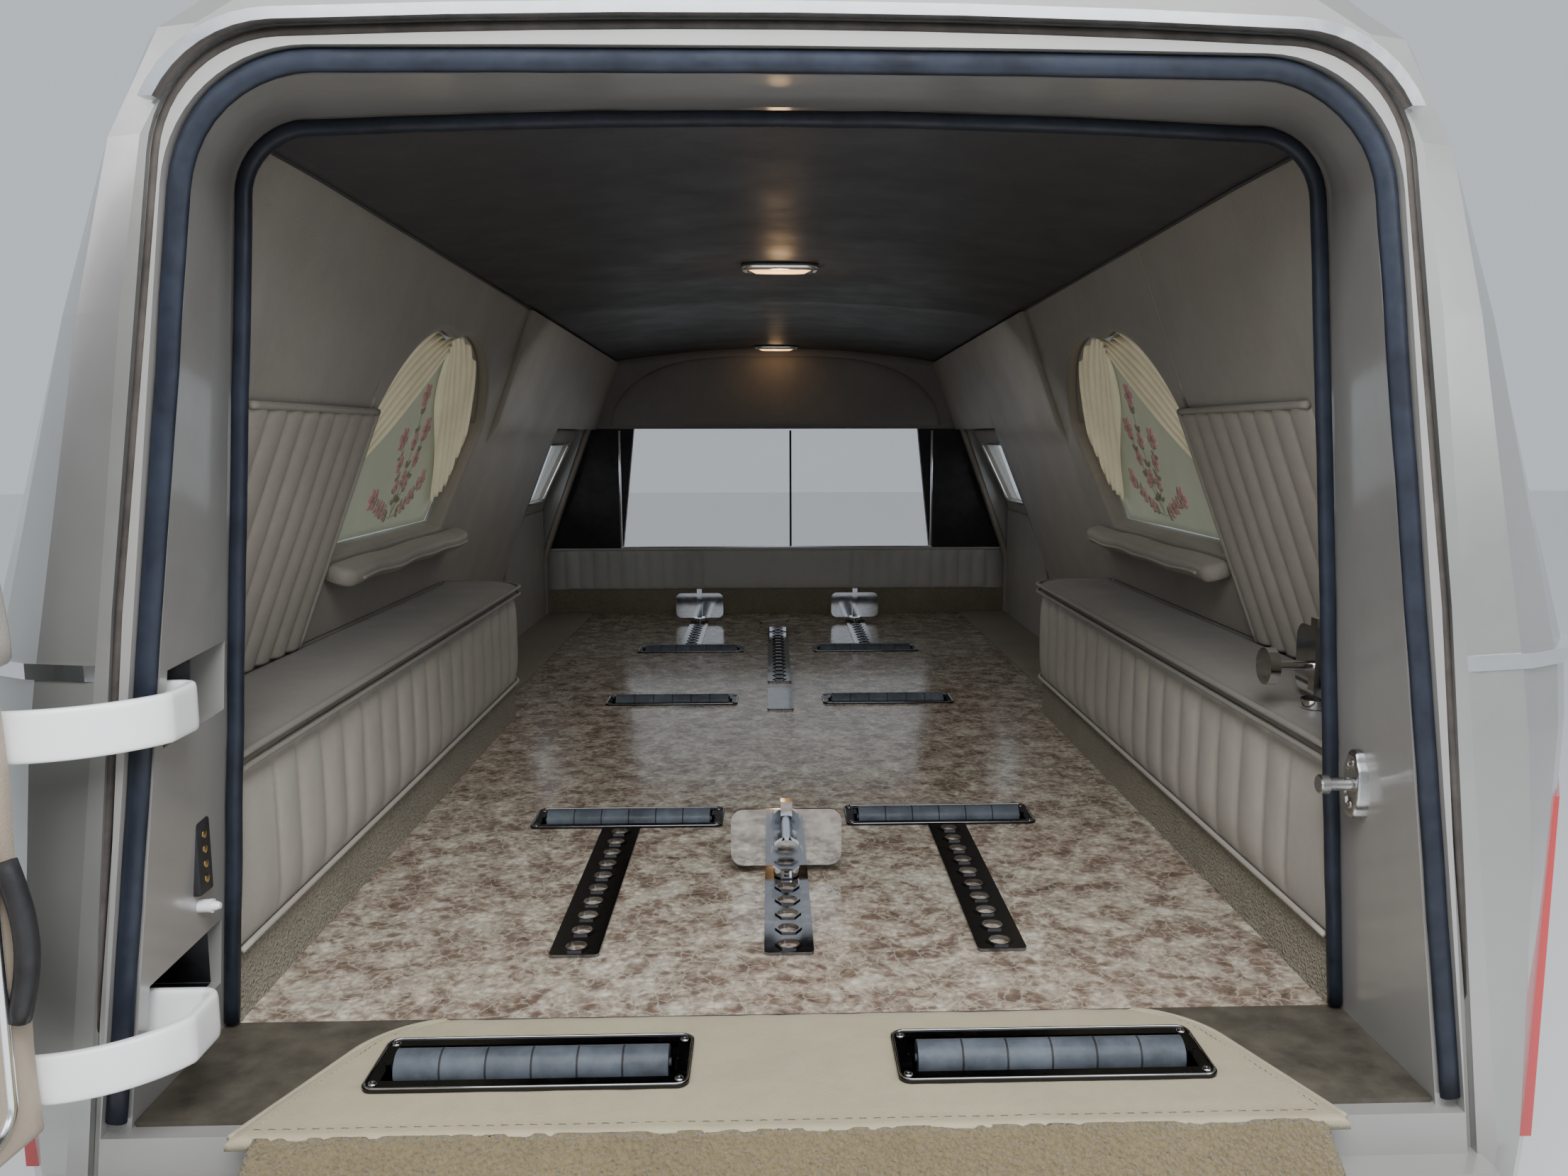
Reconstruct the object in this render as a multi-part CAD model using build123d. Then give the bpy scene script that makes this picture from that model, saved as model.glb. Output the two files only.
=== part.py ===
from build123d import *
from math import cos, radians, sin
import os

# Rear body section of a hearse with its casket compartment, in millimetres.
# +X is the car's right, +Y its front and +Z up. Z = 0 is the underside of the frame rails, X = 0 the
# centre plane and Y = 0 the rear edge of the deck's laminate. Heights named ..._H are above the deck.

# Deck and sill
DECK_Z = 460
DECK_LENGTH = 2880
DECK_THICK = 25
SILL_DEPTH = 182
SILL_HALF = 600
SILL_THICK = 5
KICK_H = 80
KICK_THICK = 12
EDGE_STRIP_WIDTH = 110
EDGE_STRIP_THICK = 6

# Benches over the wheelhouses
BENCH_LENGTH = 1450
BENCH_H = 272
BENCH_FACE = 578
KICK_SET = 9
BENCH_BOARD = 14
BENCH_CORNER_R = 90
PAD_THICK = 20
PAD_OVERHANG = 8

# Walls and ceiling: the wall leans in by WALL_SLOPE for each unit of height
WALL_HALF = 760
WALL_AT_H = 290
WALL_SLOPE = 0.365
LINING = 18
CREASE_REAR_H = 910
CREASE_FRONT_H = 866
CROWN_RISE = 48
HEADLINER = 14
WALL_START = 200
ROOM_REAR_HALF = 632
FLOOR_H = -60
KNEE_H = 200
REAR_TUCK, FRONT_TUCK = 90, 6
DOOR_CUT_START = 2150
PARTITION_Y = 2895

# Outlines round the door aperture. Columns: half width at the foot, at the waist and at the head's
# corner, height of that corner, height of the crown, radius of the corner.
WAIST_H = 470
TUNNEL_REAR = (602, 538, 477, 908, 912, 105)
TUNNEL_FRONT = (600, 567, 533, 918, 934, 75)
RING_REAR = (640, 576, 506, 940, 953, 115)
RING_FRONT = (640, 600, 566, 948, 964, 100)
DOOR_EDGE = (626, 566, 497, 931, 943, 112)
PLUG = (526, 520, 462, 868, 878, 90)
RING_FOOT_H = -75
REAR_FACE_Y = -200
OUTER_SEAL_WIDTH, SEAL_WIDTH = 20, 17
SEAL_DEPTH = 14
GUTTER_WIDTH, GUTTER_DEPTH = 9, 10
DRIP_WIDTH, DRIP_REACH = 9, 13
DRIP_END_H = 886

# Body skin
SEAM_H = 840
BODY_FRONT_Y = 2960
UNDERSIDE_H = -420
SIDE_REACH = 1100
REAR_VOID_HALF = 630
REAR_PANEL_LOW_H = -244
PANEL_THICK = 12
HOOP_Y = 2160
BELT_H, BELT_TALL = 412, 14
BELT_PROUD, BELT_SINK = 8, 10
LEDGE_HALF, LEDGE_DEPTH, LEDGE_H = 640, 30, -46
SEAL_GAP = 0.3
SEAL_CRUSH = 3
SEAL_FOOT_H = 2
INNER_SEAL_REAR_Y = -16

# Tail lamps on the tapered rear corners
LAMP_X = 728
LAMP_REAR_Y, LAMP_RUN = -130, 88
LAMP_LOW_H, LAMP_TOP_H = -75, 275
LAMP_DEPTH, LAMP_PROUD = 25, 8
CORNER_TAPER = 0.66

# Opera windows in (Y, height)
WINDOW_SILL_H, WINDOW_ARCH_H, WINDOW_TOP_H = 430, 640, 787
WINDOW_REAR_Y, WINDOW_CROWN_Y, WINDOW_FRONT_Y = 650, 960, 1350
WINDOW_RAKE = 72
WINDOW_REAR_SHOULDER = (728, 740)
WINDOW_FRONT_SHOULDER = (1240, 746)

# Side doors
DOOR_REAR_Y, DOOR_FRONT_Y = 2180, 2850
DOOR_LOW_H, DOOR_TOP_H = -330, 640
DOOR_INNER, SIDE_INNER, SKIN_MAX = 796, 600, 945
DOOR_RAKE = 0.55
DOOR_GAP = 6

# Rear door, described closed and then swung open about its hinge axis
HINGE_X, HINGE_Y = -645, -140
OPEN_ANGLE = 94
HINGE_HEIGHTS_H = (380, 88)
DOOR_INNER_Y = -205.5
DOOR_SKIN = 20
DOOR_CROWN, CROWN_INSET = 26, 52
DOOR_FOOT_H = 24
PLUG_FOOT_H = 44
PLUG_FRONT_Y = -120
# The door trim's face by height, measured forward of the plug: a flat foot, a pad and a raked head
TRIM_PROFILE = [(44, 14), (438, 14), (446, 34), (532, 34), (544, 30), (900, 110)]
DOOR_PANE_FOOT, DOOR_PANE_HEAD = 400, 372
DOOR_PANE_LOW_H, DOOR_PANE_TOP_H, DOOR_PANE_R = 500, 800, 50
DOOR_PANE_THICK = 6
ARM_TALL, ARM_THICK = 44, 10
ARM_RUN_X, ARM_R = 109, 124
ARM_BEND = (-28.5, -100)
EYE_R, PIN_R, PIN_GAP = 17, 8, 0.05
POCKET_TALL, POCKET_BACK, POCKET_OUT = 70, 24, 140
POCKET_REAR_Y, POCKET_FRONT_Y = -168, -16

# Rollers: name, x side, near edge of the housing, as a table
HOUSING_LENGTH = 306
HOUSING_DEPTH = 96
HOUSING_X = 252
ROLLER_LENGTH = 262
ROLLER_R = 17
ROLLER_PROUD = 16
AXLE_R = 4
AXLE_GAP = 0.05
# row name, near edge of its two housings
ROLLER_ROWS = [("sill", -166), ("rear", 612), ("middle", 1467), ("front", 2130)]

# Bier tracks: centre x, near end, far end, sockets
TRACK_WIDTH = 60
TRACK_THICK = 4
TRACKS = [(-258, 145, 606, 10), (258, 145, 606, 10), (0, 143, 600, 10), (0, 1712, 2500, 16),
          (-258, 2240, 2700, 10), (258, 2240, 2700, 10)]
SOCKET_R = 13
CENTRE_PLATE = (0, 1410, 1630)
TRACK_END, TRACK_CORNER, COLLAR_TALL = 22, 6, 2
TROUGH_LENGTH, TROUGH_EDGE, TROUGH_DEPTH, TROUGH_WALL = 280, 14, 24, 2
SILL_POCKET_H = -11
HOUSING_THICK, HOUSING_CORNER = 3, 12
EAR_THICK, EAR_WIDE, EAR_RISE = 5, 24, 9
ROLLER_SEGMENTS = 6

# Loading apron on the sill and its hanging carpet
APRON_THICK = 14
FLAP_LOW_Z = 190
APRON_FRONT_Y, APRON_REAR_Y = -22, -232
APRON_FRONT_HALF, APRON_REAR_HALF, APRON_R = 415, 500, 60
FLAP_THICK, FLAP_HALF = 10, 480

# Bier pins and stops
REAR_PIN_SOCKET, FRONT_STOP_SOCKET, LATCH_SOCKET = 5, 9, 15
FOOT_R, FOOT_TALL, PEG_R = 18, 10, 12
POST_HALF, POST_TALL = 8, 113
PADDLE_LONG, PADDLE_TALL, PADDLE_THICK, PADDLE_ROUND, PADDLE_MID_Z = 156, 82, 4, 18, 56
SCREW_R, KNOB_R, KNOB_TALL, KNOB_LONG = 6, 22, 12, 46
SPARE_X, SPARE_Y = 628, 150

# Jamb fittings
STRIKER_H, STRIKER_Y, STRIKER_WIDE, STRIKER_TALL = 270, -84, 34, 70
STRIKER_PROUD, STRIKER_REACH, STRIKER_R = 12, 44, 8
CONTACT_H, CONTACT_Y, CONTACT_WIDE, CONTACT_TALL, CONTACT_PROUD = 210, -84, 28, 75, 6
SWITCH_H, SWITCH_R, SWITCH_REACH = 159, 7, 16
LATCH_H, LATCH_X, HANDLE_LONG, HANDLE_TALL, HANDLE_PROUD = 400, 420, 160, 36, 18

# Side door details: window corners in (Y, height)
DOOR_WAIST_H, DOOR_HEAD_INNER = 380, 668
SIDE_WINDOW = [(2300, 400), (2780, 400), (2780, 590), (2400, 590)]
SIDE_TRIM, SIDE_PANE_SET = 16, 30
BASE = (Align.CENTER, Align.CENTER, Align.MIN)

# Wheel arch
AXLE_Y = 950
AXLE_Z = 100
ARCH_R = 390
WHEELHOUSE_R = 410
WHEELHOUSE_WALL = 6
WHEELHOUSE_INNER = 626

# Frame
RAIL_X = 470
RAIL_W = 70
RAIL_TALL = 120
RAIL_WALL = 6
RAIL_REAR_Y = -150
RAIL_FRONT_Y = 2950
CROSS_YS = (0, 620, 1500, 2300, 2880)
CROSS_W, CROSS_TALL = 60, 80
BOLT_YS, BOLT_R = (160, 2400), 6.5
RISER_YS = (60, 700, 1300, 2000, 2800)
RISER_W = 60
BEARER_W, BEARER_TALL = 50, 30
FLOOR_HALF = 620
WELL_X, WELL_H = 752, -336
BUMPER_REAR_Y, BUMPER_GAP = -350, 6
BUMPER_LOW_H, BUMPER_TOP_H = -310, -80
BUMPER_STEP = 30
BUMPER_HALF, BUMPER_TURN = 740, 90
BRACKET_LAP = 60
DECK_FRONT_HALF = 640

# Linings, curtains and glass
LINING_LAP = 20
PLEAT_TOP_H, PLEAT_THICK = 655, 10
PLEAT_FRONT_Y, PLEAT_RAKE = 640, 20
LEDGE_SHELF_H, LEDGE_SHELF_TALL, LEDGE_SHELF_OUT = 425, 46, 52
LEDGE_REAR_Y, LEDGE_FRONT_Y, LEDGE_ROUND = 645, 1390, 14
SHADE_DEPTH, SHADE_THICK = 34, 4
CURTAIN_DEPTH, CURTAIN_THICK = 14, 16
CURTAIN_APEX_Y, CURTAIN_APEX_H, CURTAIN_TIE_H = 1010, 760, 520
CURTAIN_DROP_H, CURTAIN_HANG_Y = 480, 1230
GLASS_LOW_X, GLASS_HIGH_X, GLASS_THICK = 803, 628, 6

# Partition
BULKHEAD_THICK, BULKHEAD_H = 30, 225
BULKHEAD_PAD_HALF, BULKHEAD_PAD_LOW_H, BULKHEAD_PAD_THICK = 735, 84, 12
PANE_FOOT, PANE_HEAD, PANE_SET, PANE_THICK = 534, 490, 10, 8
HEADER_H, HEADER_FOOT_HALF, HEADER_TOP_HALF = 640, 575, 460
HEADER_SHOULDER_H, HEADER_CROWN_H, HEADER_R, HEADER_PAD = 870, 890, 90, 12
DOME_YS = (1100, 2800)
DOME_HALF, DOME_WIDE, DOME_TALL, DOME_SEAT = 75, 34, 14, 1


def box(x0, x1, y0, y1, z0, z1):
    """A block between two corners."""
    return Pos((x0 + x1) / 2, (y0 + y1) / 2, (z0 + z1) / 2) * Box(abs(x1 - x0), abs(y1 - y0), abs(z1 - z0))


def prism_xz(points, y0, y1):
    """A closed outline of (x, z) points, drawn out along Y."""
    face = make_face(Polyline(*[(x, y0, z) for x, z in points], close=True))
    return extrude(face, y1 - y0, dir=(0, 1, 0))


def prism_yz(points, x0, x1):
    """A closed outline of (y, z) points, drawn out along X."""
    face = make_face(Polyline(*[(x0, y, z) for y, z in points], close=True))
    return extrude(face, x1 - x0, dir=(1, 0, 0))


def prism_xy(points, z0, z1):
    """A closed outline of (x, y) points, drawn out along Z."""
    face = make_face(Polyline(*[(x, y, z0) for x, y in points], close=True))
    return extrude(face, z1 - z0, dir=(0, 0, 1))


def rod(start, end, radius):
    """A round bar between two points."""
    line = Line(start, end)
    return extrude(Plane(origin=start, z_dir=line % 0) * Circle(radius), line.length)


def both_sides(solid):
    """The solid and its mirror image across the centre plane."""
    return [solid, mirror(solid, Plane.YZ)]


def write(name, *solids):
    """One file for one named piece."""
    export_step(Compound(children=list(flat(solids))), f"parts/{name}.step")


def flat(items):
    """Every single solid in nested lists and compounds."""
    for item in items:
        if isinstance(item, (list, tuple)):
            yield from flat(item)
        else:
            yield from item.solids()


def deck(height):
    """A height above the deck as a Z."""
    return DECK_Z + height


def wall_x(height):
    """Half width between the wall linings at a height above the deck."""
    return WALL_HALF - WALL_SLOPE * (height - WALL_AT_H)


def arch_outline(y, half, rim_h, crown_h, foot):
    """A half outline's (x, height) points, mirrored, with an arc over the top from rim to rim."""
    right = [(x, y, deck(h)) for x, h in foot] + [(half, y, deck(rim_h))]
    left = [(-x, py, z) for x, py, z in reversed(right)]
    crown = ThreePointArc(right[-1], (0, y, deck(crown_h)), left[0])
    return make_face(Polyline(*left, *right) + crown)


# The body's skin by stations. Columns: half width at the underside, at the hip, at the belt, at the
# window's top, at the roof's shoulder and at the edge of the crown.
SKIN_HEIGHTS = (UNDERSIDE_H, -250, -40, 210, 350, 412, 720, 860, 945, 988)
# y, half widths at those heights, crown's height
SKIN_STATIONS = [
    (REAR_FACE_Y, (600, 645, 655, 622, 603, 595, 551, 524, 474, 400), 1004),
    (-188, (620, 666, 684, 676, 662, 652, 592, 556, 510, 436), 1020),
    (-160, (636, 686, 696, 706, 708, 702, 620, 573, 531, 470), 1030),
    (-110, (660, 730, 746, 746, 748, 742, 650, 599, 556, 484), 1036),
    (-40, (700, 765, 788, 790, 778, 756, 664, 610, 566, 494), 1040),
    (400, (860, 925, 945, 930, 885, 815, 694, 640, 600, 505), 1060),
    (BODY_FRONT_Y, (860, 925, 945, 930, 885, 815, 694, 640, 600, 505), 1060),
]


def skin_solid():
    """The whole outer form of the section, as if solid."""
    faces = []
    for y, halves, crown_h in SKIN_STATIONS:
        foot = list(zip(halves, SKIN_HEIGHTS))
        faces.append(arch_outline(y, foot[-1][0], foot[-1][1], crown_h, foot[:-1]))
    return loft(faces, ruled=True)


def room_face(y, foot, tuck, crease_h, inset):
    """A cross section of the room inside the panels, drawn in by a lining's thickness."""
    foot_x = foot - inset
    top_x = wall_x(crease_h) + LINING - inset
    points = [(foot_x - tuck, UNDERSIDE_H - 50), (foot_x, FLOOR_H), (foot_x, KNEE_H)]
    return arch_outline(y, top_x, crease_h, crease_h + CROWN_RISE + HEADLINER - min(inset, HEADLINER), points)


def room(inset):
    """The space inside the panels: it closes in towards the door aperture behind WALL_START."""
    wide = wall_x(KNEE_H) + LINING
    rows = [(0, ROOM_REAR_HALF, REAR_TUCK, CREASE_REAR_H), (WALL_START, wide, REAR_TUCK, CREASE_REAR_H),
            (BODY_FRONT_Y, wide, FRONT_TUCK, CREASE_FRONT_H)]
    return loft([room_face(y, foot, tuck, crease, inset) for y, foot, tuck, crease in rows], ruled=True)


def head_face(y, outline, grow, foot_h):
    """One of the outlines round the door aperture, grown outward, with rounded head corners."""
    foot, waist, head, head_h, crown_h, radius = outline
    right = [(foot + grow, y, deck(foot_h)), (waist + grow, y, deck(WAIST_H)),
             (head + grow, y, deck(head_h + grow))]
    left = [(-x, py, z) for x, py, z in reversed(right)]
    crown = ThreePointArc(right[-1], (0, y, deck(crown_h + grow)), left[0])
    face = make_face(Polyline(*left, *right) + crown)
    corners = face.vertices().sort_by(Axis.Z)[-2:]
    return fillet(corners, radius + grow)


def head_prism(outline, grow, y0, y1, foot_h):
    """An outline round the door aperture, drawn out along Y."""
    return extrude(head_face(y0, outline, grow, foot_h), y1 - y0, dir=(0, 1, 0))


def tunnel(grow, foot_h):
    """The aperture's inside, which changes from the rear outline to the front one."""
    return loft([head_face(REAR_FACE_Y, TUNNEL_REAR, grow, foot_h), head_face(0, TUNNEL_FRONT, grow, foot_h)],
                ruled=True)


def ring_block(grow):
    """The outside of the aperture's ring, as if solid."""
    return loft([head_face(REAR_FACE_Y, RING_REAR, grow, RING_FOOT_H), head_face(0, RING_FRONT, grow, RING_FOOT_H)],
                ruled=True)


def window_outline(grow):
    """The opera window's outline in (Y, height) with its arched top, grown outward all round."""
    foot_rear = Vector(0, WINDOW_REAR_Y - grow, deck(WINDOW_SILL_H - grow))
    rear = Vector(0, WINDOW_REAR_Y - grow, deck(WINDOW_ARCH_H))
    crown = Vector(0, WINDOW_CROWN_Y, deck(WINDOW_TOP_H + grow))
    front = Vector(0, WINDOW_FRONT_Y + grow, deck(WINDOW_ARCH_H))
    foot_front = Vector(0, WINDOW_FRONT_Y - WINDOW_RAKE + grow, deck(WINDOW_SILL_H - grow))
    rise = ThreePointArc(rear, shoulder(WINDOW_REAR_SHOULDER, -1, grow), crown)
    fall = ThreePointArc(crown, shoulder(WINDOW_FRONT_SHOULDER, 1, grow), front)
    return make_face(rise + fall + Polyline(front, foot_front, foot_rear, rear))


def shoulder(place, side, grow):
    """A point on the window's arch, moved outward along its diagonal."""
    y, height = place
    return Vector(0, y + side * grow * cos(radians(45)), deck(height) + grow * sin(radians(45)))


def window_cutter(grow):
    """The window's outline drawn out across the right side."""
    return extrude(window_outline(grow), SIDE_REACH, dir=(1, 0, 0))


def side_door_cutter(gap, top_gap):
    """The side door's opening on the right: its rear face slants so that the door swings clear."""
    rear, front = DOOR_REAR_Y + gap, DOOR_FRONT_Y - gap
    points = [(SIDE_REACH, rear), (SKIN_MAX, rear), (SIDE_INNER, rear + DOOR_RAKE * (SKIN_MAX - SIDE_INNER)),
              (SIDE_INNER, front), (SIDE_REACH, front)]
    return prism_xy(points, deck(DOOR_LOW_H + gap), deck(DOOR_TOP_H - top_gap))


def lamp_outline():
    """A tail lamp's plan on the tapered corner of the right side, from its back to its lens."""
    return [(LAMP_X - LAMP_DEPTH, LAMP_REAR_Y), (LAMP_X + LAMP_PROUD, LAMP_REAR_Y),
            (LAMP_X + LAMP_PROUD + LAMP_RUN * CORNER_TAPER, LAMP_REAR_Y + LAMP_RUN),
            (LAMP_X - LAMP_DEPTH + LAMP_RUN * CORNER_TAPER, LAMP_REAR_Y + LAMP_RUN)]


def make_body():
    """Quarter panels, roof, door frame at the front, rear aperture, lamps and mouldings."""
    skin = skin_solid()
    inside = room(0)
    ring = ring_block(0)
    rear_void = box(-REAR_VOID_HALF, REAR_VOID_HALF, REAR_FACE_Y - 10, 10, 0, deck(RING_FOOT_H))
    shell = skin - inside - ring - rear_void
    lamp = prism_xy(lamp_outline(), deck(LAMP_LOW_H), deck(LAMP_TOP_H))
    arch = wheel_drum(ARCH_R, 0)
    below_seam = box(0, SIDE_REACH, REAR_FACE_Y - 10, BODY_FRONT_Y + 10, -100, deck(SEAM_H))
    side = (shell & below_seam) - lamp - arch - window_cutter(0) - side_door_cutter(0, 0)
    rearward = box(0, SIDE_REACH, REAR_FACE_Y - 10, HOOP_Y, -100, 2000)
    quarter = side & rearward
    write("right_quarter_panel", quarter)
    left = mirror(quarter, Plane.YZ)
    for z in hinge_levels():
        left = left - hinge_pocket(z)
    write("left_quarter_panel", left)
    write("door_hoop", both_sides(side - rearward))
    roof = shell & box(-SIDE_REACH, SIDE_REACH, REAR_FACE_Y - 10, BODY_FRONT_Y + 10, deck(SEAM_H), 2000)
    write("roof_panel", roof)
    write("tail_lamps", both_sides(lamp))
    make_aperture(ring, skin)
    make_mouldings(skin)
    make_side_doors(skin)


def make_aperture(ring, skin):
    """The rear aperture: a ring of jambs and header, with hinge pockets and a ledge for the door seal."""
    frame = ring - tunnel(0, -SILL_THICK)
    rabbet = head_prism(TUNNEL_REAR, OUTER_SEAL_WIDTH, REAR_FACE_Y, REAR_FACE_Y + SEAL_DEPTH, -SILL_THICK)
    gutter = head_prism(RING_REAR, 10, REAR_FACE_Y, REAR_FACE_Y + GUTTER_DEPTH, RING_FOOT_H)
    gutter = gutter - head_prism(RING_REAR, -GUTTER_WIDTH, REAR_FACE_Y, REAR_FACE_Y + GUTTER_DEPTH, RING_FOOT_H - 1)
    gutter = gutter & box(-SIDE_REACH, SIDE_REACH, REAR_FACE_Y, 0, deck(LEDGE_H), 2000)
    frame = (frame - rabbet - gutter) & skin
    troughs = [housing_pocket(x, near, SILL_POCKET_H) for x, near in housing_places()[:2]]
    for trough in troughs:
        frame = frame - trough
    for z in hinge_levels():
        frame = frame - hinge_pocket(z)
    ledge = box(-LEDGE_HALF, LEDGE_HALF, REAR_FACE_Y - LEDGE_DEPTH, REAR_FACE_Y,
                deck(RING_FOOT_H), deck(LEDGE_H))
    apron_panel = box(-REAR_VOID_HALF, REAR_VOID_HALF, REAR_FACE_Y, REAR_FACE_Y + PANEL_THICK,
                      deck(REAR_PANEL_LOW_H), deck(RING_FOOT_H))
    write("rear_aperture", frame + ledge + apron_panel)
    sill = box(-SILL_HALF, SILL_HALF, -SILL_DEPTH, 0, deck(-SILL_THICK), DECK_Z)
    sill = sill & tunnel(0, -SILL_THICK)
    for trough in troughs:
        sill = sill - trough
    write("sill_plate", sill)
    above_sill = box(-SIDE_REACH, SIDE_REACH, REAR_FACE_Y - 50, 50, deck(SEAL_FOOT_H), 2000)
    outer = head_prism(TUNNEL_REAR, OUTER_SEAL_WIDTH - SEAL_GAP, REAR_FACE_Y + SEAL_CRUSH,
                       REAR_FACE_Y + SEAL_DEPTH, -SILL_THICK)
    outer = outer - head_prism(TUNNEL_REAR, 0, REAR_FACE_Y, REAR_FACE_Y + SEAL_DEPTH + 1, -SILL_THICK)
    inner = tunnel(-SEAL_GAP, -SILL_THICK) - tunnel(-SEAL_WIDTH, -SILL_THICK)
    inner = inner & box(-SIDE_REACH, SIDE_REACH, INNER_SEAL_REAR_Y, 0, 0, 2000)
    write("door_seals", outer & above_sill, inner & above_sill)


def make_mouldings(skin):
    """The drip rail over the aperture and the belt mouldings along the sides."""
    rail = head_prism(RING_REAR, DRIP_WIDTH, REAR_FACE_Y - DRIP_REACH, REAR_FACE_Y, 0)
    rail = rail - head_prism(RING_REAR, 0, REAR_FACE_Y - DRIP_REACH - 1, REAR_FACE_Y + 1, -10)
    rail = rail & box(-SIDE_REACH, SIDE_REACH, REAR_FACE_Y - 50, REAR_FACE_Y + 50, deck(DRIP_END_H), 2000)
    slab = box(0, SIDE_REACH, REAR_FACE_Y, HOOP_Y, deck(BELT_H), deck(BELT_H + BELT_TALL))
    faces = []
    for y, halves, crown_h in SKIN_STATIONS:
        half = halves[SKIN_HEIGHTS.index(BELT_H)]
        faces.append((half + BELT_PROUD, y))
    inner = [(x - BELT_PROUD - BELT_SINK, y) for x, y in reversed(faces)]
    belt = prism_xy(faces + inner, deck(BELT_H), deck(BELT_H + BELT_TALL)) & slab
    belt = belt - skin
    write("body_mouldings", rail, both_sides(belt))


def make_chassis():
    """Two box rails with cross-members and risers, the floor and its side wells, and the bumper."""
    parts = []
    for side in (-1, 1):
        x = side * RAIL_X
        tube = box(x - RAIL_W / 2, x + RAIL_W / 2, RAIL_REAR_Y, RAIL_FRONT_Y, 0, RAIL_TALL)
        hollow = box(x - RAIL_W / 2 + RAIL_WALL, x + RAIL_W / 2 - RAIL_WALL, RAIL_REAR_Y - 1, RAIL_FRONT_Y + 1,
                     RAIL_WALL, RAIL_TALL - RAIL_WALL)
        parts.append(tube - hollow)
        for y in RISER_YS:
            riser = box(x - RISER_W / 2, x + RISER_W / 2, y - RISER_W / 2, y + RISER_W / 2,
                        RAIL_TALL, deck(FLOOR_H) - BEARER_TALL)
            parts.append(riser)
    inner = RAIL_X - RAIL_W / 2
    for y in CROSS_YS:
        beam = box(-inner, inner, y - CROSS_W / 2, y + CROSS_W / 2, 0, CROSS_TALL)
        parts.append(beam)
    frame = parts[0]
    for part in parts[1:]:
        frame = frame + part
    for x in (-RAIL_X, RAIL_X):
        for y in BOLT_YS:
            frame = frame - Pos(x, y, 0) * Cylinder(BOLT_R, 2 * RAIL_WALL + 1)
    write("chassis_frame", frame)

    floor = box(-FLOOR_HALF, FLOOR_HALF, 0, PARTITION_Y, deck(FLOOR_H), deck(-DECK_THICK))
    for y in RISER_YS:
        bearer = box(-FLOOR_HALF, FLOOR_HALF, y - BEARER_W / 2, y + BEARER_W / 2,
                     deck(FLOOR_H) - BEARER_TALL, deck(FLOOR_H))
        floor = floor + bearer
    for side in both_sides(side_well()):
        floor = floor + side
    write("floor_pan", floor)
    make_wheelhouses()
    make_bumper()


def side_well():
    """The floor beside the deck: a shelf round the wheelhouse and a sunken step inside the side door."""
    outer = wall_x(KNEE_H) + LINING
    rear, front = BENCH_LENGTH, PARTITION_Y
    top_shelf = box(FLOOR_HALF - 1, outer, rear, DOOR_REAR_Y, deck(FLOOR_H), deck(-DECK_THICK))
    link = box(FLOOR_HALF - 1, WELL_X, rear, front, deck(FLOOR_H), deck(-DECK_THICK))
    wall = box(WELL_X - PANEL_THICK, WELL_X, DOOR_REAR_Y, front, deck(WELL_H), deck(-DECK_THICK))
    step = box(WELL_X - PANEL_THICK, outer, DOOR_REAR_Y, front, deck(WELL_H) - PANEL_THICK, deck(WELL_H))
    shelf = box(FLOOR_HALF - 1, outer, 0, rear + 1, deck(FLOOR_H), deck(-DECK_THICK)) - wheel_drum(WHEELHOUSE_R, 0)
    return (shelf + top_shelf + link + wall + step) & room(0)


def wheel_drum(radius, inset):
    """A drum about the right rear wheel's axle, from the wheelhouse's inner side outward."""
    start = Pos(WHEELHOUSE_INNER + inset, AXLE_Y, AXLE_Z) * Rot(0, 90, 0)
    return start * Cylinder(radius, SIDE_REACH, align=BASE)


def make_wheelhouses():
    """Half drums over the rear wheels, each closed on its inner side."""
    shell = wheel_drum(WHEELHOUSE_R, 0) - wheel_drum(WHEELHOUSE_R - WHEELHOUSE_WALL, WHEELHOUSE_WALL)
    shell = shell & box(0, SIDE_REACH, -500, 3000, AXLE_Z, 2000) & room(0)
    write("wheelhouses", both_sides(shell))


def make_bumper():
    """A deep bumper with rounded ends on two brackets from the frame rails."""
    rear, front = BUMPER_REAR_Y, REAR_FACE_Y - BUMPER_GAP
    low, high = deck(BUMPER_LOW_H), deck(BUMPER_TOP_H)
    face = make_face(Polyline(*[(0, y, z) for y, z in [
        (front, low), (front, high), (rear + BUMPER_STEP, high), (rear, high - BUMPER_STEP),
        (rear, low + BUMPER_STEP), (rear + BUMPER_STEP, low)]], close=True))
    bar = extrude(face, BUMPER_HALF, dir=(1, 0, 0))
    plan = [(0, rear), (BUMPER_HALF - BUMPER_TURN, rear), (BUMPER_HALF, rear + BUMPER_TURN / 2),
            (BUMPER_HALF, front), (0, front)]
    bar = bar & prism_xy(plan, low, high)
    bracket = box(RAIL_X - RAIL_W / 2, RAIL_X + RAIL_W / 2, front, RAIL_REAR_Y, RAIL_WALL, low + BRACKET_LAP)
    whole = bar + mirror(bar, Plane.YZ)
    for piece in both_sides(bracket):
        whole = whole + piece
    write("rear_bumper", whole)


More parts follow.
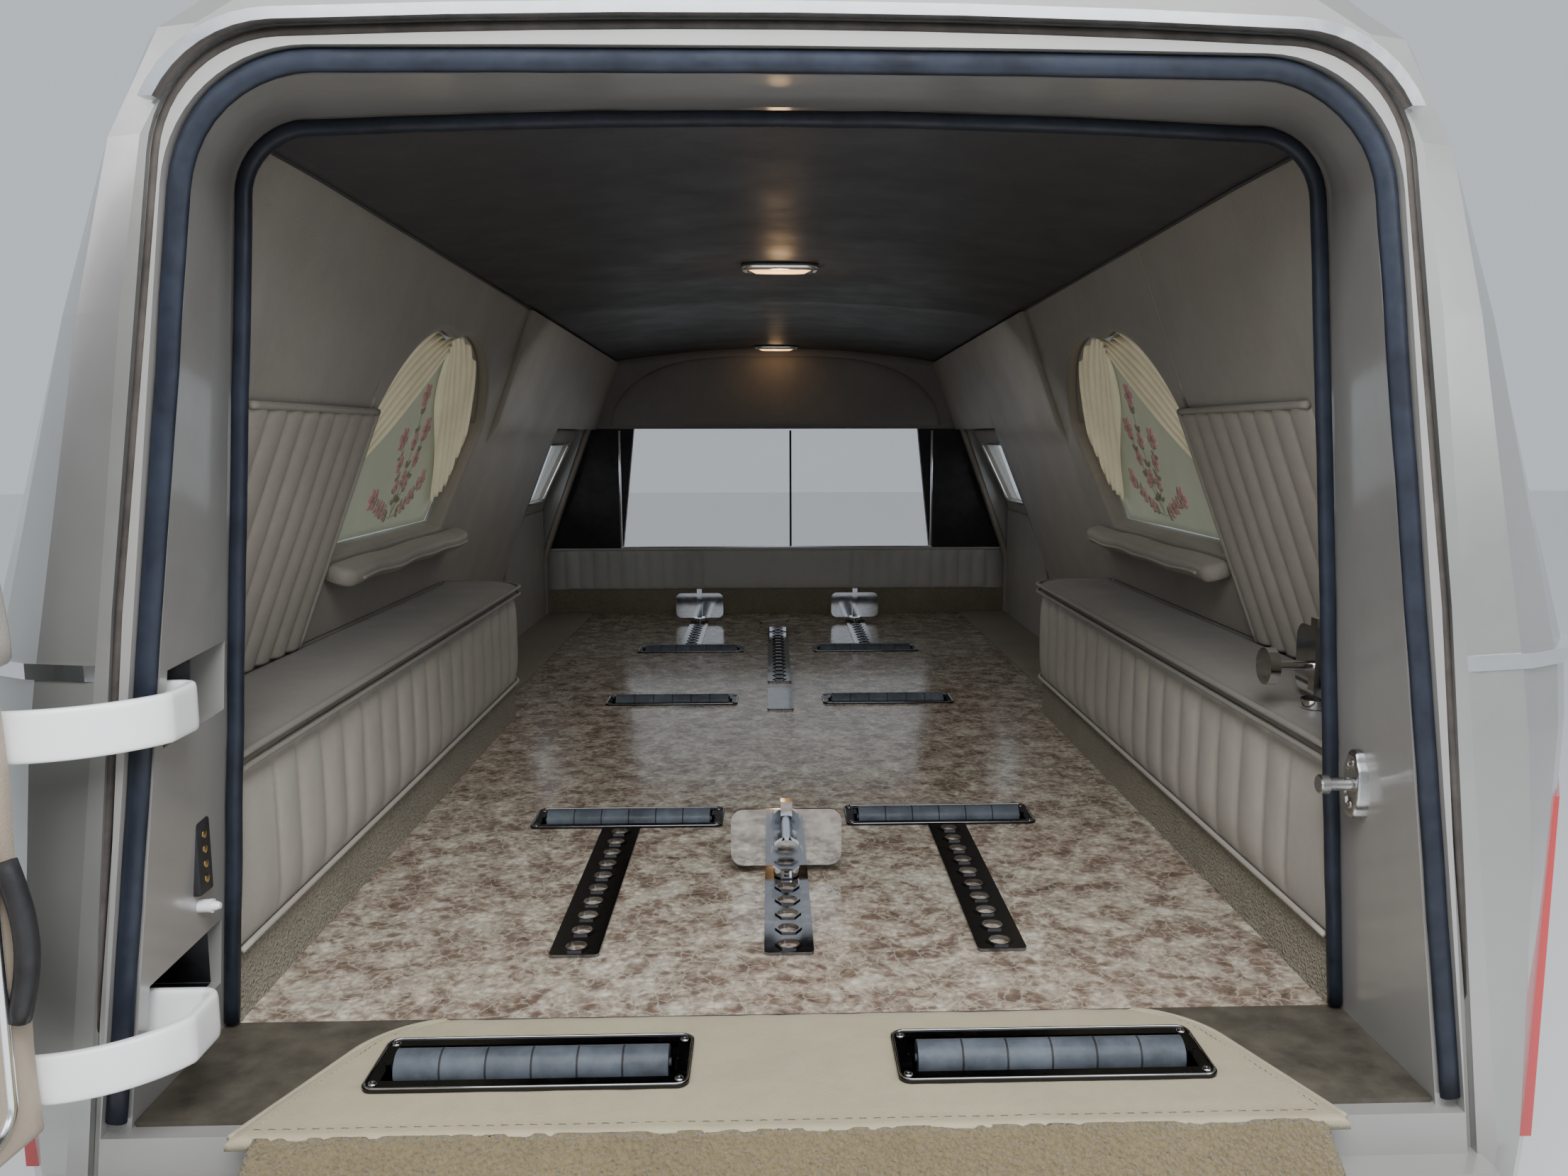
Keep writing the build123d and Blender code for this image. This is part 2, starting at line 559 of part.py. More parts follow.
def make_deck():
    """The laminated deck, its carpeted edges, the kick strips and the benches over the wheelhouses."""
    step_y = BENCH_LENGTH - BENCH_CORNER_R - KICK_SET
    narrow, wide = BENCH_FACE + KICK_SET, DECK_FRONT_HALF
    outline = [(narrow, 0), (narrow, step_y), (wide, step_y), (wide, DECK_LENGTH)]
    outline = outline + [(-x, y) for x, y in reversed(outline)]
    deck_board = prism_xy(outline, deck(-DECK_THICK), DECK_Z)
    foot = bench_block(-DECK_THICK - 1, KICK_H, KICK_SET)
    for piece in both_sides(foot):
        deck_board = deck_board - piece
    for x, near in housing_places():
        deck_board = deck_board - housing_pocket(x, near, -DECK_THICK)
    write("casket_deck", deck_board)
    kick = bench_block(-DECK_THICK, KICK_H, KICK_SET)
    kick = kick - bench_block(-DECK_THICK - 1, KICK_H + 1, KICK_SET + KICK_THICK)
    strip = box(wide, wide + EDGE_STRIP_WIDTH, step_y, DECK_LENGTH, DECK_Z - DECK_THICK,
                DECK_Z + EDGE_STRIP_THICK)
    write("kick_strips", both_sides(kick), both_sides(strip - foot))
    bench = bench_block(KICK_H, BENCH_H, 0) - bench_block(KICK_H - 1, BENCH_H - BENCH_BOARD, BENCH_BOARD)
    write("side_benches", both_sides(bench))
    write("bench_pads", both_sides(bench_block(BENCH_H, BENCH_H + PAD_THICK, -PAD_OVERHANG)))


def bench_block(low_h, high_h, inset):
    """The bench's form on the right side between two heights, with its rounded front corner."""
    front = BENCH_LENGTH - inset
    face_x = BENCH_FACE + inset
    r = BENCH_CORNER_R - inset
    z = deck(low_h)
    corner = CenterArc((face_x + r, front - r, z), r, 90, 90)
    edge = Polyline(corner @ 0, (SIDE_REACH, front, z), (SIDE_REACH, 0, z), (face_x, 0, z), corner @ 1)
    block = extrude(make_face(corner + edge), high_h - low_h, dir=(0, 0, 1))
    return block & room(LINING if high_h > WALL_AT_H else 0)


def wall_slab(low_h, high_h, inward, outward, y0, y1):
    """A slab along the right wall between two heights, measured in and out from the lining's face."""
    points = [(wall_x(low_h) - inward, deck(low_h)), (wall_x(high_h) - inward, deck(high_h)),
              (wall_x(high_h) + outward, deck(high_h)), (wall_x(low_h) + outward, deck(low_h))]
    return prism_xz(points, y0, y1)


def make_linings():
    """Wall linings, ceiling, pleated side panels, window ledges, shades, curtains and glass."""
    layer = room(0) - room(LINING)
    end = PARTITION_Y
    wall_zone = box(0, SIDE_REACH, 0, end, deck(BENCH_H + PAD_THICK), deck(CREASE_FRONT_H - LINING_LAP))
    wall_zone = wall_zone + box(0, SIDE_REACH, BENCH_LENGTH + PAD_OVERHANG, DOOR_REAR_Y, deck(-DECK_THICK),
                                deck(BENCH_H + PAD_THICK))
    lining = (layer & wall_zone) - window_cutter(0) - side_door_cutter(0, 0)
    write("wall_linings", both_sides(lining))
    ceiling_zone = box(-SIDE_REACH, SIDE_REACH, 0, end, deck(CREASE_FRONT_H - LINING_LAP), 2000)
    write("headliner", layer & ceiling_zone)

    pleats = wall_slab(BENCH_H + PAD_THICK, PLEAT_TOP_H, PLEAT_THICK, 0, WALL_START, PLEAT_FRONT_Y)
    pleat_shape = prism_yz([(WALL_START, deck(PLEAT_TOP_H)), (PLEAT_FRONT_Y, deck(PLEAT_TOP_H)),
                            (PLEAT_FRONT_Y - PLEAT_RAKE, deck(BENCH_H + PAD_THICK)),
                            (WALL_START, deck(BENCH_H + PAD_THICK))], 0, SIDE_REACH)
    write("pleated_panels", both_sides(pleats & pleat_shape))

    ledge = wall_slab(LEDGE_SHELF_H - LEDGE_SHELF_TALL, LEDGE_SHELF_H, LEDGE_SHELF_OUT, 0,
                      LEDGE_REAR_Y, LEDGE_FRONT_Y)
    write("window_ledges", both_sides(fillet(ledge.edges().filter_by(Axis.Y).sort_by(Axis.X)[:2], LEDGE_ROUND)))

    plug = window_cutter(-SEAL_GAP)
    shade = plug & wall_slab(WINDOW_SILL_H - 50, WINDOW_TOP_H + 50, -SHADE_DEPTH, SHADE_DEPTH + SHADE_THICK,
                             WINDOW_REAR_Y, WINDOW_FRONT_Y)
    write("window_shades", both_sides(shade))
    cloth = plug & wall_slab(WINDOW_SILL_H - 50, WINDOW_TOP_H + 50, -CURTAIN_DEPTH, CURTAIN_DEPTH + CURTAIN_THICK,
                             WINDOW_REAR_Y, WINDOW_FRONT_Y)
    apex = (CURTAIN_APEX_Y, deck(WINDOW_TOP_H + 50))
    rear_swag = prism_yz([apex, (CURTAIN_APEX_Y, deck(CURTAIN_APEX_H)), (WINDOW_REAR_Y, deck(CURTAIN_TIE_H)),
                          (WINDOW_REAR_Y, deck(WINDOW_TOP_H + 50))], 0, SIDE_REACH)
    front_swag = prism_yz([(CURTAIN_APEX_Y + 2, deck(WINDOW_TOP_H + 50)),
                           (WINDOW_FRONT_Y, deck(WINDOW_TOP_H + 50)), (WINDOW_FRONT_Y, deck(CURTAIN_DROP_H)),
                           (CURTAIN_HANG_Y, deck(CURTAIN_DROP_H)), (CURTAIN_APEX_Y + 2, deck(CURTAIN_APEX_H))],
                          0, SIDE_REACH)
    write("window_curtains", both_sides(cloth & rear_swag), both_sides(cloth & front_swag))
    glass = plug & prism_xz([(GLASS_LOW_X, deck(BELT_H)), (GLASS_HIGH_X, deck(SKIN_HEIGHTS[7])),
                             (GLASS_HIGH_X - GLASS_THICK, deck(SKIN_HEIGHTS[7])),
                             (GLASS_LOW_X - GLASS_THICK, deck(BELT_H))], WINDOW_REAR_Y, WINDOW_FRONT_Y)
    write("quarter_windows", both_sides(glass))


def make_front():
    """The partition: bulkhead, glass in its frame, side panels, header and the two dome lamps."""
    y = PARTITION_Y
    inside = room(0)
    base = inside & box(-SIDE_REACH, SIDE_REACH, y, y + BULKHEAD_THICK, deck(-DECK_THICK), deck(BULKHEAD_H))
    pad = box(-BULKHEAD_PAD_HALF, BULKHEAD_PAD_HALF, y - BULKHEAD_PAD_THICK, y,
              deck(BULKHEAD_PAD_LOW_H), deck(BULKHEAD_H))
    write("bulkhead", base + pad)
    upper = inside & box(-SIDE_REACH, SIDE_REACH, y, y + BULKHEAD_THICK, deck(BULKHEAD_H), deck(HEADER_H))
    pane = prism_xz([(-PANE_FOOT, deck(BULKHEAD_H)), (-PANE_HEAD, deck(HEADER_H)), (PANE_HEAD, deck(HEADER_H)),
                     (PANE_FOOT, deck(BULKHEAD_H))], y - 1, y + BULKHEAD_THICK + 1)
    write("partition_frame", upper - pane)
    write("partition_glass", pane & box(-SIDE_REACH, SIDE_REACH, y + PANE_SET, y + PANE_SET + PANE_THICK, 0, 2000))
    head = inside & box(-SIDE_REACH, SIDE_REACH, y, y + BULKHEAD_THICK, deck(HEADER_H), 2000)
    raised = arch_outline(y - HEADER_PAD, HEADER_TOP_HALF, HEADER_SHOULDER_H, HEADER_CROWN_H,
                          [(HEADER_FOOT_HALF, HEADER_H)])
    raised = fillet(raised.vertices().sort_by(Axis.Z)[-2:], HEADER_R)
    write("header_panel", head + extrude(raised, HEADER_PAD, dir=(0, 1, 0)))
    write("dome_lamps", [dome_lamp(y0) for y0 in DOME_YS])


def dome_lamp(y):
    """A lens-shaped lamp under the ceiling, flat on top."""
    lens = extrude(Ellipse(DOME_HALF, DOME_WIDE), -DOME_TALL)
    lens = fillet(lens.edges().sort_by(Axis.Z)[0], DOME_TALL * 0.6)
    crease = CREASE_REAR_H + (CREASE_FRONT_H - CREASE_REAR_H) * (y - WALL_START) / (BODY_FRONT_Y - WALL_START)
    return Pos(0, y, deck(crease + CROWN_RISE) - DOME_SEAT) * lens


def housing_places():
    """Centre x and near edge of each of the eight roller housings."""
    return [(side * HOUSING_X, near) for _, near in ROLLER_ROWS for side in (-1, 1)]


def housing_pocket(x, near, low_h):
    """The recess under one roller housing, down to a height."""
    half = TROUGH_LENGTH / 2
    return box(x - half, x + half, near + TROUGH_EDGE, near + HOUSING_DEPTH - TROUGH_EDGE,
               deck(low_h), DECK_Z + APRON_THICK)


def hinge_levels():
    """The middle height of each rear door hinge."""
    return [deck(height) for height in HINGE_HEIGHTS_H]


def hinge_pocket(z):
    """The pocket in the left jamb that one hinge arm swings in."""
    return box(HINGE_X - POCKET_BACK, HINGE_X + POCKET_OUT, POCKET_REAR_Y, POCKET_FRONT_Y,
               z - POCKET_TALL / 2, z + POCKET_TALL / 2)


def make_rollers():
    """Each roller runs on its own axle between two ears of a pressed housing let into the deck."""
    housings = []
    for row, near in ROLLER_ROWS:
        base = DECK_Z + (APRON_THICK if row == "sill" else 0)
        for side, word in ((-1, "left"), (1, "right")):
            x, y = side * HOUSING_X, near + HOUSING_DEPTH / 2
            z = base + ROLLER_PROUD - ROLLER_R
            plate = box(x - HOUSING_LENGTH / 2, x + HOUSING_LENGTH / 2, near, near + HOUSING_DEPTH,
                        base, base + HOUSING_THICK)
            plate = fillet(plate.edges().filter_by(Axis.Z), HOUSING_CORNER)
            half = TROUGH_LENGTH / 2
            depth = TROUGH_DEPTH
            trough = box(x - half, x + half, near + TROUGH_EDGE, near + HOUSING_DEPTH - TROUGH_EDGE,
                         base - depth, base)
            hollow = box(x - half + TROUGH_WALL, x + half - TROUGH_WALL, near + TROUGH_EDGE + TROUGH_WALL,
                         near + HOUSING_DEPTH - TROUGH_EDGE - TROUGH_WALL, base - depth + TROUGH_WALL,
                         base + HOUSING_THICK)
            housing = plate + trough - hollow
            for end in (-1, 1):
                ear_x = x + end * (half - EAR_THICK / 2 - TROUGH_WALL / 2)
                ear = box(ear_x - EAR_THICK / 2, ear_x + EAR_THICK / 2, y - EAR_WIDE / 2, y + EAR_WIDE / 2,
                          base - depth, z + EAR_RISE)
                housing = housing + ear
            bore = rod((x - half - 5, y, z), (x + half + 5, y, z), AXLE_R + AXLE_GAP)
            housings.append(housing - bore)
            body = rod((x - ROLLER_LENGTH / 2, y, z), (x + ROLLER_LENGTH / 2, y, z), ROLLER_R)
            for groove in range(1, ROLLER_SEGMENTS):
                gx = x - ROLLER_LENGTH / 2 + groove * ROLLER_LENGTH / ROLLER_SEGMENTS
                cut = rod((gx - 1, y, z), (gx + 1, y, z), ROLLER_R + 5) - rod((gx - 2, y, z), (gx + 2, y, z), ROLLER_R - 1)
                body = body - cut
            axle = rod((x - half + 0.5, y, z), (x + half - 0.5, y, z), AXLE_R)
            write(f"{row}_roller_{word}", body + axle)
    write("roller_housings", housings)


def make_tracks():
    """Pierced tracks that hold the bier pins, the pins themselves and the front stops."""
    plates = []
    for x, near, far, count in TRACKS:
        plate = box(x - TRACK_WIDTH / 2, x + TRACK_WIDTH / 2, near, far, DECK_Z, DECK_Z + TRACK_THICK)
        plate = fillet(plate.edges().filter_by(Axis.Z), TRACK_CORNER)
        pitch = (far - near - 2 * TRACK_END) / (count - 1)
        for i in range(count):
            y = near + TRACK_END + i * pitch
            collar = Pos(x, y, DECK_Z + TRACK_THICK) * extrude(RegularPolygon(SOCKET_R + 4, 6), COLLAR_TALL)
            plate = plate + collar
            plate = plate - Pos(x, y, DECK_Z) * Cylinder(SOCKET_R, 50)
        plates.append(plate)
    x, near, far = CENTRE_PLATE
    middle = box(x - TRACK_WIDTH / 2, x + TRACK_WIDTH / 2, near, far, DECK_Z, DECK_Z + TRACK_THICK)
    plates.append(fillet(middle.edges().filter_by(Axis.Z), TRACK_CORNER))
    write("bier_tracks", plates)
    pin = bier_pin(KNOB_LONG)
    place = Pos(0, track_socket_y(TRACKS[2], REAR_PIN_SOCKET), DECK_Z)
    spare = Pos(SPARE_X, SPARE_Y, deck(BENCH_H + PAD_THICK)) * Rot(0, 0, -90) * bier_pin(KNOB_LONG)
    write("bier_pins", place * pin, spare)
    stops = []
    for track in TRACKS[4:]:
        stops.append(Pos(track[0], track_socket_y(track, FRONT_STOP_SOCKET), DECK_Z) * bier_pin(0))
    latch_y = track_socket_y(TRACKS[3], LATCH_SOCKET)
    latch = Pos(0, latch_y, DECK_Z) * front_latch()
    write("front_bier_stops", stops, latch)


def track_socket_y(track, index):
    """Where one socket of a track lies."""
    _, near, far, count = track
    return near + TRACK_END + index * (far - near - 2 * TRACK_END) / (count - 1)


def bier_pin(knob):
    """A stop that stands in a socket: foot, post, rounded paddle, and a knob on a screw behind it."""
    foot_z = TRACK_THICK + COLLAR_TALL
    foot = Pos(0, 0, foot_z) * Cylinder(FOOT_R, FOOT_TALL, align=BASE)
    peg = Cylinder(PEG_R, foot_z + 1, align=BASE)
    post = box(-POST_HALF, POST_HALF, -POST_HALF, POST_HALF, foot_z, POST_TALL)
    paddle = extrude(Plane.XZ.offset(-POST_HALF - PADDLE_THICK) * paddle_face(), PADDLE_THICK)
    pin = foot + peg + post + paddle
    if knob:
        z = PADDLE_MID_Z
        screw = rod((0, -POST_HALF - knob, z), (0, POST_HALF + 1, z), SCREW_R)
        grip = rod((0, -POST_HALF - knob - KNOB_TALL, z), (0, -POST_HALF - knob, z), KNOB_R)
        pin = pin + screw + grip
    return pin


def paddle_face():
    """The paddle's plate: flat top and bottom, round ends."""
    plate = Pos(0, PADDLE_MID_Z) * RectangleRounded(PADDLE_LONG, PADDLE_TALL, PADDLE_ROUND)
    return plate


def front_latch():
    """The folded latch at the head of the centre track: a base block and two crossed arms."""
    z = TRACK_THICK + COLLAR_TALL
    base = box(-26, 26, -20, 20, z, z + 14)
    arm = Pos(0, 0, z + 14) * Rot(0, 0, 65) * box(-12, 12, -70, 40, 0, 10)
    arm_two = Pos(0, 0, z + 24) * Rot(0, 0, -60) * box(-10, 10, -60, 35, 0, 8)
    peg = Cylinder(PEG_R, z + 1, align=BASE)
    return base + arm + arm_two + peg


def make_apron():
    """The padded apron on the sill, cut for its two roller housings, and the carpet that hangs from it."""
    outline = [(-APRON_FRONT_HALF, APRON_FRONT_Y), (APRON_FRONT_HALF, APRON_FRONT_Y),
               (APRON_REAR_HALF, APRON_REAR_Y), (-APRON_REAR_HALF, APRON_REAR_Y)]
    apron = prism_xy(outline, DECK_Z, DECK_Z + APRON_THICK)
    apron = fillet(apron.edges().filter_by(Axis.Z).sort_by(Axis.Y)[-2:], APRON_R)
    for x, near in housing_places()[:2]:
        apron = apron - housing_pocket(x, near, 0)
    write("loading_apron", apron)
    top, low = DECK_Z, deck(LEDGE_H)
    step_y = REAR_FACE_Y - LEDGE_DEPTH
    bumper_top = deck(BUMPER_TOP_H)
    path = [(APRON_REAR_Y, top), (APRON_REAR_Y, top + APRON_THICK), (APRON_REAR_Y - FLAP_THICK, top + APRON_THICK),
            (BUMPER_REAR_Y, bumper_top + FLAP_THICK + 1), (BUMPER_REAR_Y - FLAP_THICK, bumper_top),
            (BUMPER_REAR_Y - FLAP_THICK, FLAP_LOW_Z), (BUMPER_REAR_Y, FLAP_LOW_Z),
            (BUMPER_REAR_Y, bumper_top - BUMPER_STEP), (BUMPER_REAR_Y + BUMPER_STEP, bumper_top),
            (step_y, low)]
    write("apron_carpet", prism_yz(path, -FLAP_HALF, FLAP_HALF))


def swing_open(solid):
    """A piece of the rear door from its closed place to the open one."""
    return solid.rotate(Axis((HINGE_X, HINGE_Y, 0), (0, 0, 1)), -OPEN_ANGLE)


def door_pane(grow):
    """The rear door's window outline on its own plane."""
    points = [(-DOOR_PANE_FOOT - grow, 0, deck(DOOR_PANE_LOW_H - grow)),
              (DOOR_PANE_FOOT + grow, 0, deck(DOOR_PANE_LOW_H - grow)),
              (DOOR_PANE_HEAD + grow, 0, deck(DOOR_PANE_TOP_H + grow)),
              (-DOOR_PANE_HEAD - grow, 0, deck(DOOR_PANE_TOP_H + grow))]
    face = make_face(FilletPolyline(*points, radius=DOOR_PANE_R + grow, close=True))
    return extrude(face, 600, dir=(0, -1, 0))


def make_rear_door():
    """The rear door: crowned outer panel on a deep box, trim, glass, hinge arms and latch, all open."""
    outer_y = DOOR_INNER_Y - DOOR_SKIN
    skin = head_prism(DOOR_EDGE, 0, outer_y, DOOR_INNER_Y, DOOR_FOOT_H)
    crown = loft([head_face(outer_y - DOOR_CROWN, DOOR_EDGE, -CROWN_INSET, DOOR_FOOT_H + CROWN_INSET),
                  head_face(outer_y, DOOR_EDGE, 0, DOOR_FOOT_H)], ruled=True)
    plug = head_prism(PLUG, 0, DOOR_INNER_Y, PLUG_FRONT_Y, PLUG_FOOT_H)
    hollow = head_prism(PLUG, -DOOR_SKIN, DOOR_INNER_Y, PLUG_FRONT_Y + 1, PLUG_FOOT_H + DOOR_SKIN)
    lid = head_prism(PLUG, -DOOR_SKIN, PLUG_FRONT_Y - DOOR_SKIN, PLUG_FRONT_Y, PLUG_FOOT_H + DOOR_SKIN)
    frame_fill = door_pane(DOOR_SKIN) & head_prism(PLUG, 0, DOOR_INNER_Y, PLUG_FRONT_Y, PLUG_FOOT_H)
    shell = skin + crown + (plug - hollow) + lid + frame_fill - door_pane(0)
    low_h, high_h = TRIM_PROFILE[0][0], TRIM_PROFILE[-1][0]
    profile = [(PLUG_FRONT_Y, deck(low_h))] + [(PLUG_FRONT_Y + reach, deck(h)) for h, reach in TRIM_PROFILE]
    profile = profile + [(PLUG_FRONT_Y, deck(high_h))]
    trim = prism_yz(profile, -SIDE_REACH, SIDE_REACH) & head_prism(PLUG, 0, PLUG_FRONT_Y, 0, PLUG_FOOT_H)
    trim = trim - door_pane(0)
    pane_y = outer_y + DOOR_PANE_THICK
    glass = door_pane(-SEAL_GAP) & box(-SIDE_REACH, SIDE_REACH, pane_y - DOOR_PANE_THICK, pane_y, 0, 2000)
    block = plug + trim
    arms = []
    for z in hinge_levels():
        arm = hinge_arm(z).rotate(Axis((HINGE_X, HINGE_Y, 0), (0, 0, 1)), OPEN_ANGLE)
        arms.append(swing_open(arm - block))
    write("rear_door", swing_open(shell))
    write("rear_door_trim", swing_open(trim))
    write("rear_door_glass", swing_open(glass))
    write("rear_door_hinges", arms)
    make_latch(outer_y - DOOR_CROWN)


def hinge_arm(z):
    """A gooseneck arm as it stands with the door open: eye, straight run, and a bend round the flange."""
    half = ARM_THICK / 2
    start = Vector(HINGE_X + ARM_RUN_X, HINGE_Y)
    turn, tip = ARM_BEND
    outer, inner = ARM_R + half, ARM_R - half
    low = z - ARM_TALL / 2
    centre = (HINGE_X, HINGE_Y, low)
    ring = Pos(centre) * (Cylinder(outer, ARM_TALL, align=BASE) - Cylinder(inner, ARM_TALL, align=BASE))
    spread = [(HINGE_X, HINGE_Y)] + [(HINGE_X + 300 * cos(radians(a)), HINGE_Y + 300 * sin(radians(a)))
                                     for a in (turn, (turn + tip) / 2, tip)]
    bend = ring & prism_xy(spread, low, low + ARM_TALL)
    corner_y = HINGE_Y + ARM_R * sin(radians(turn))
    run = box(start.X - half, start.X + half, corner_y - half, HINGE_Y, low, low + ARM_TALL)
    neck = box(HINGE_X, start.X + half, HINGE_Y - ARM_THICK, HINGE_Y, low, low + ARM_TALL)
    eye = Pos(centre) * Cylinder(EYE_R, ARM_TALL, align=BASE)
    bore = Pos(centre) * Cylinder(PIN_R + PIN_GAP, ARM_TALL, align=BASE)
    return bend + run + neck + eye - bore


def make_latch(outside_y):
    """The rear door's outside handle."""
    z = deck(LATCH_H)
    x = LATCH_X
    pad = box(x - HANDLE_LONG / 2, x + HANDLE_LONG / 2, outside_y - HANDLE_PROUD, outside_y,
              z - HANDLE_TALL / 2, z + HANDLE_TALL / 2)
    pad = fillet(pad.edges().filter_by(Axis.Y), HANDLE_TALL / 3)
    write("rear_door_latch", swing_open(pad))


def make_jamb_fittings():
    """Hinge pins, the latch striker, the contact plate and the door switch."""
    pins = [rod((HINGE_X, HINGE_Y, z - POCKET_TALL / 2), (HINGE_X, HINGE_Y, z + POCKET_TALL / 2), PIN_R)
            for z in hinge_levels()]
    z = deck(STRIKER_H)
    face_x = tunnel_half(STRIKER_H, STRIKER_Y)
    plate = box(face_x - STRIKER_PROUD, face_x + 30, STRIKER_Y, STRIKER_Y + STRIKER_WIDE,
                z - STRIKER_TALL / 2, z + STRIKER_TALL / 2)
    bolt = rod((face_x - STRIKER_REACH, STRIKER_Y + STRIKER_WIDE / 2, z),
               (face_x, STRIKER_Y + STRIKER_WIDE / 2, z), STRIKER_R)
    striker = plate + bolt
    z = deck(CONTACT_H)
    left_x = -tunnel_half(CONTACT_H, CONTACT_Y)
    contact = box(left_x - 30, left_x + CONTACT_PROUD, CONTACT_Y, CONTACT_Y + CONTACT_WIDE,
                  z - CONTACT_TALL / 2, z + CONTACT_TALL / 2)
    z = deck(SWITCH_H)
    switch = rod((left_x - 30, CONTACT_Y + CONTACT_WIDE / 2, z), (left_x + SWITCH_REACH, CONTACT_Y + CONTACT_WIDE / 2, z),
                 SWITCH_R)
    wall = ring_block(0) - tunnel(0, -SILL_THICK)
    write("jamb_fittings", pins, striker - wall, contact - wall, switch - wall)


def tunnel_half(height, y):
    """Half width of the aperture's inside at a height and a station."""
    share = (y - REAR_FACE_Y) / -REAR_FACE_Y
    foot = TUNNEL_REAR[0] + (TUNNEL_FRONT[0] - TUNNEL_REAR[0]) * share
    waist = TUNNEL_REAR[1] + (TUNNEL_FRONT[1] - TUNNEL_REAR[1]) * share
    return foot + (waist - foot) * height / WAIST_H


def make_side_doors(skin):
    """Side doors: outer shell with a cut window, its glass and a trim panel inside."""
    inner_points = [(DOOR_INNER, deck(DOOR_LOW_H)), (DOOR_INNER, deck(DOOR_WAIST_H)),
                    (DOOR_HEAD_INNER, deck(DOOR_TOP_H)), (SIDE_REACH, deck(DOOR_TOP_H)),
                    (SIDE_REACH, deck(DOOR_LOW_H))]
    zone = prism_xz(inner_points, DOOR_REAR_Y, DOOR_FRONT_Y)
    body = skin & zone & side_door_cutter(DOOR_GAP, DOOR_GAP)
    window = prism_yz([(y, deck(h)) for y, h in SIDE_WINDOW], 0, SIDE_REACH)
    shifted = prism_xz([(x + SIDE_TRIM, z) for x, z in inner_points[:3]] + inner_points[3:], DOOR_REAR_Y, DOOR_FRONT_Y)
    shell = (body & shifted) - window
    trim = (body - shifted) - window
    pane = body & window
    centre_strip = prism_xz([(x + SIDE_PANE_SET, z) for x, z in inner_points[:3]]
                            + [(x + SIDE_PANE_SET + GLASS_THICK, z) for x, z in reversed(inner_points[:3])],
                            DOOR_REAR_Y, DOOR_FRONT_Y)
    pane = pane & centre_strip
    for name, piece in (("side_door", shell), ("side_door_trim", trim), ("side_door_glass", pane)):
        write(f"right_{name}", piece)
        write(f"left_{name}", mirror(piece, Plane.YZ))


os.makedirs("parts", exist_ok=True)
make_body()
make_chassis()
make_deck()
make_linings()
make_front()
make_rollers()
make_tracks()
make_apron()
make_jamb_fittings()
make_rear_door()
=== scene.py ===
import bpy, bmesh, random
from math import atan2, copysign, cos, dist, exp, hypot, pi, radians, sin, sqrt, tan, tau
from mathutils import Matrix, Vector, noise

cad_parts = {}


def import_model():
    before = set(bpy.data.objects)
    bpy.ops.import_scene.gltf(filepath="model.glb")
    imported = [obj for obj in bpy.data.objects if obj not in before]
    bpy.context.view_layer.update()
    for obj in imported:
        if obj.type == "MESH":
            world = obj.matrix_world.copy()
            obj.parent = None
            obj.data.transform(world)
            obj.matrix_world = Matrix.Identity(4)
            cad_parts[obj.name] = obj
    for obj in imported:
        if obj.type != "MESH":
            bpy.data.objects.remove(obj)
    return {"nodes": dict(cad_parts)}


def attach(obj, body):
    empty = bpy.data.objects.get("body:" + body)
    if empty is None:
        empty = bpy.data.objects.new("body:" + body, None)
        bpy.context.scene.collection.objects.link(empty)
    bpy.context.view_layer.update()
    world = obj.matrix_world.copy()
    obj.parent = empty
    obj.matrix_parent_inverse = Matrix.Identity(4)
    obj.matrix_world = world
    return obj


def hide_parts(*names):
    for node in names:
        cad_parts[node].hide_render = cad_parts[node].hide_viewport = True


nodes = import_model()["nodes"]
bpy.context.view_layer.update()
BODY = "body_section"
SIDES = ((-1, "left"), (1, "right"))

# Places that several pieces share, in metres; X is 0 on the centre line and Y is 0 at the deck's rear edge
DECK = 0.46
FRONT_WALL = 2.893
CREASE_REAR, CREASE_SPAN, CREASE_FALL = 0.2, 2.76, 0.044
CREASE_H, ROOF_RISE = 0.91, 0.046
BENCH_FRONT_X, BENCH_LENGTH, BENCH_CORNER = 0.578, 1.45, 0.09
BENCH_LOW, BENCH_TALL = 0.081, 0.19
LINING_THICK, LINING_FOOT = 0.016, 0.262
SILL_LEDGE_H = 0.407
LAMP_PLACES = (1.1, 2.8)
ROLLER_X = 0.252
HINGE_X, HINGE_Y = -0.645, -0.14
ARM_HEIGHTS = (0.38, 0.088)

# The camera, matched to the photograph
PHOTO_WIDTH, FOCAL_PIXELS, CENTRE_OFF = 2212, 1661, -35.1
SENSOR = 36
CAMERA_PLACE = (-0.0191, -1.201, DECK + 0.62)
CAMERA_TURN, CAMERA_TILT, CAMERA_ROLL = -1.833, 90 - 7.43, -0.054


def link_object(name, data, place=(0, 0, 0)):
    thing = bpy.data.objects.new(name, data)
    bpy.context.scene.collection.objects.link(thing)
    thing.location = place
    return thing


def make_camera():
    data = bpy.data.cameras.new("photo_camera")
    data.sensor_width, data.lens = SENSOR, SENSOR * FOCAL_PIXELS / PHOTO_WIDTH
    data.shift_x = CENTRE_OFF / PHOTO_WIDTH
    data.clip_start, data.clip_end = 0.02, 100
    cam = link_object("photo_camera", data)
    turn = Matrix.Rotation(radians(CAMERA_TURN), 4, "Z")
    tilt = Matrix.Rotation(radians(CAMERA_TILT), 4, "X")
    roll = Matrix.Rotation(radians(CAMERA_ROLL), 4, "Z")
    cam.matrix_world = Matrix.Translation(CAMERA_PLACE) @ turn @ tilt @ roll
    bpy.context.scene.camera = cam


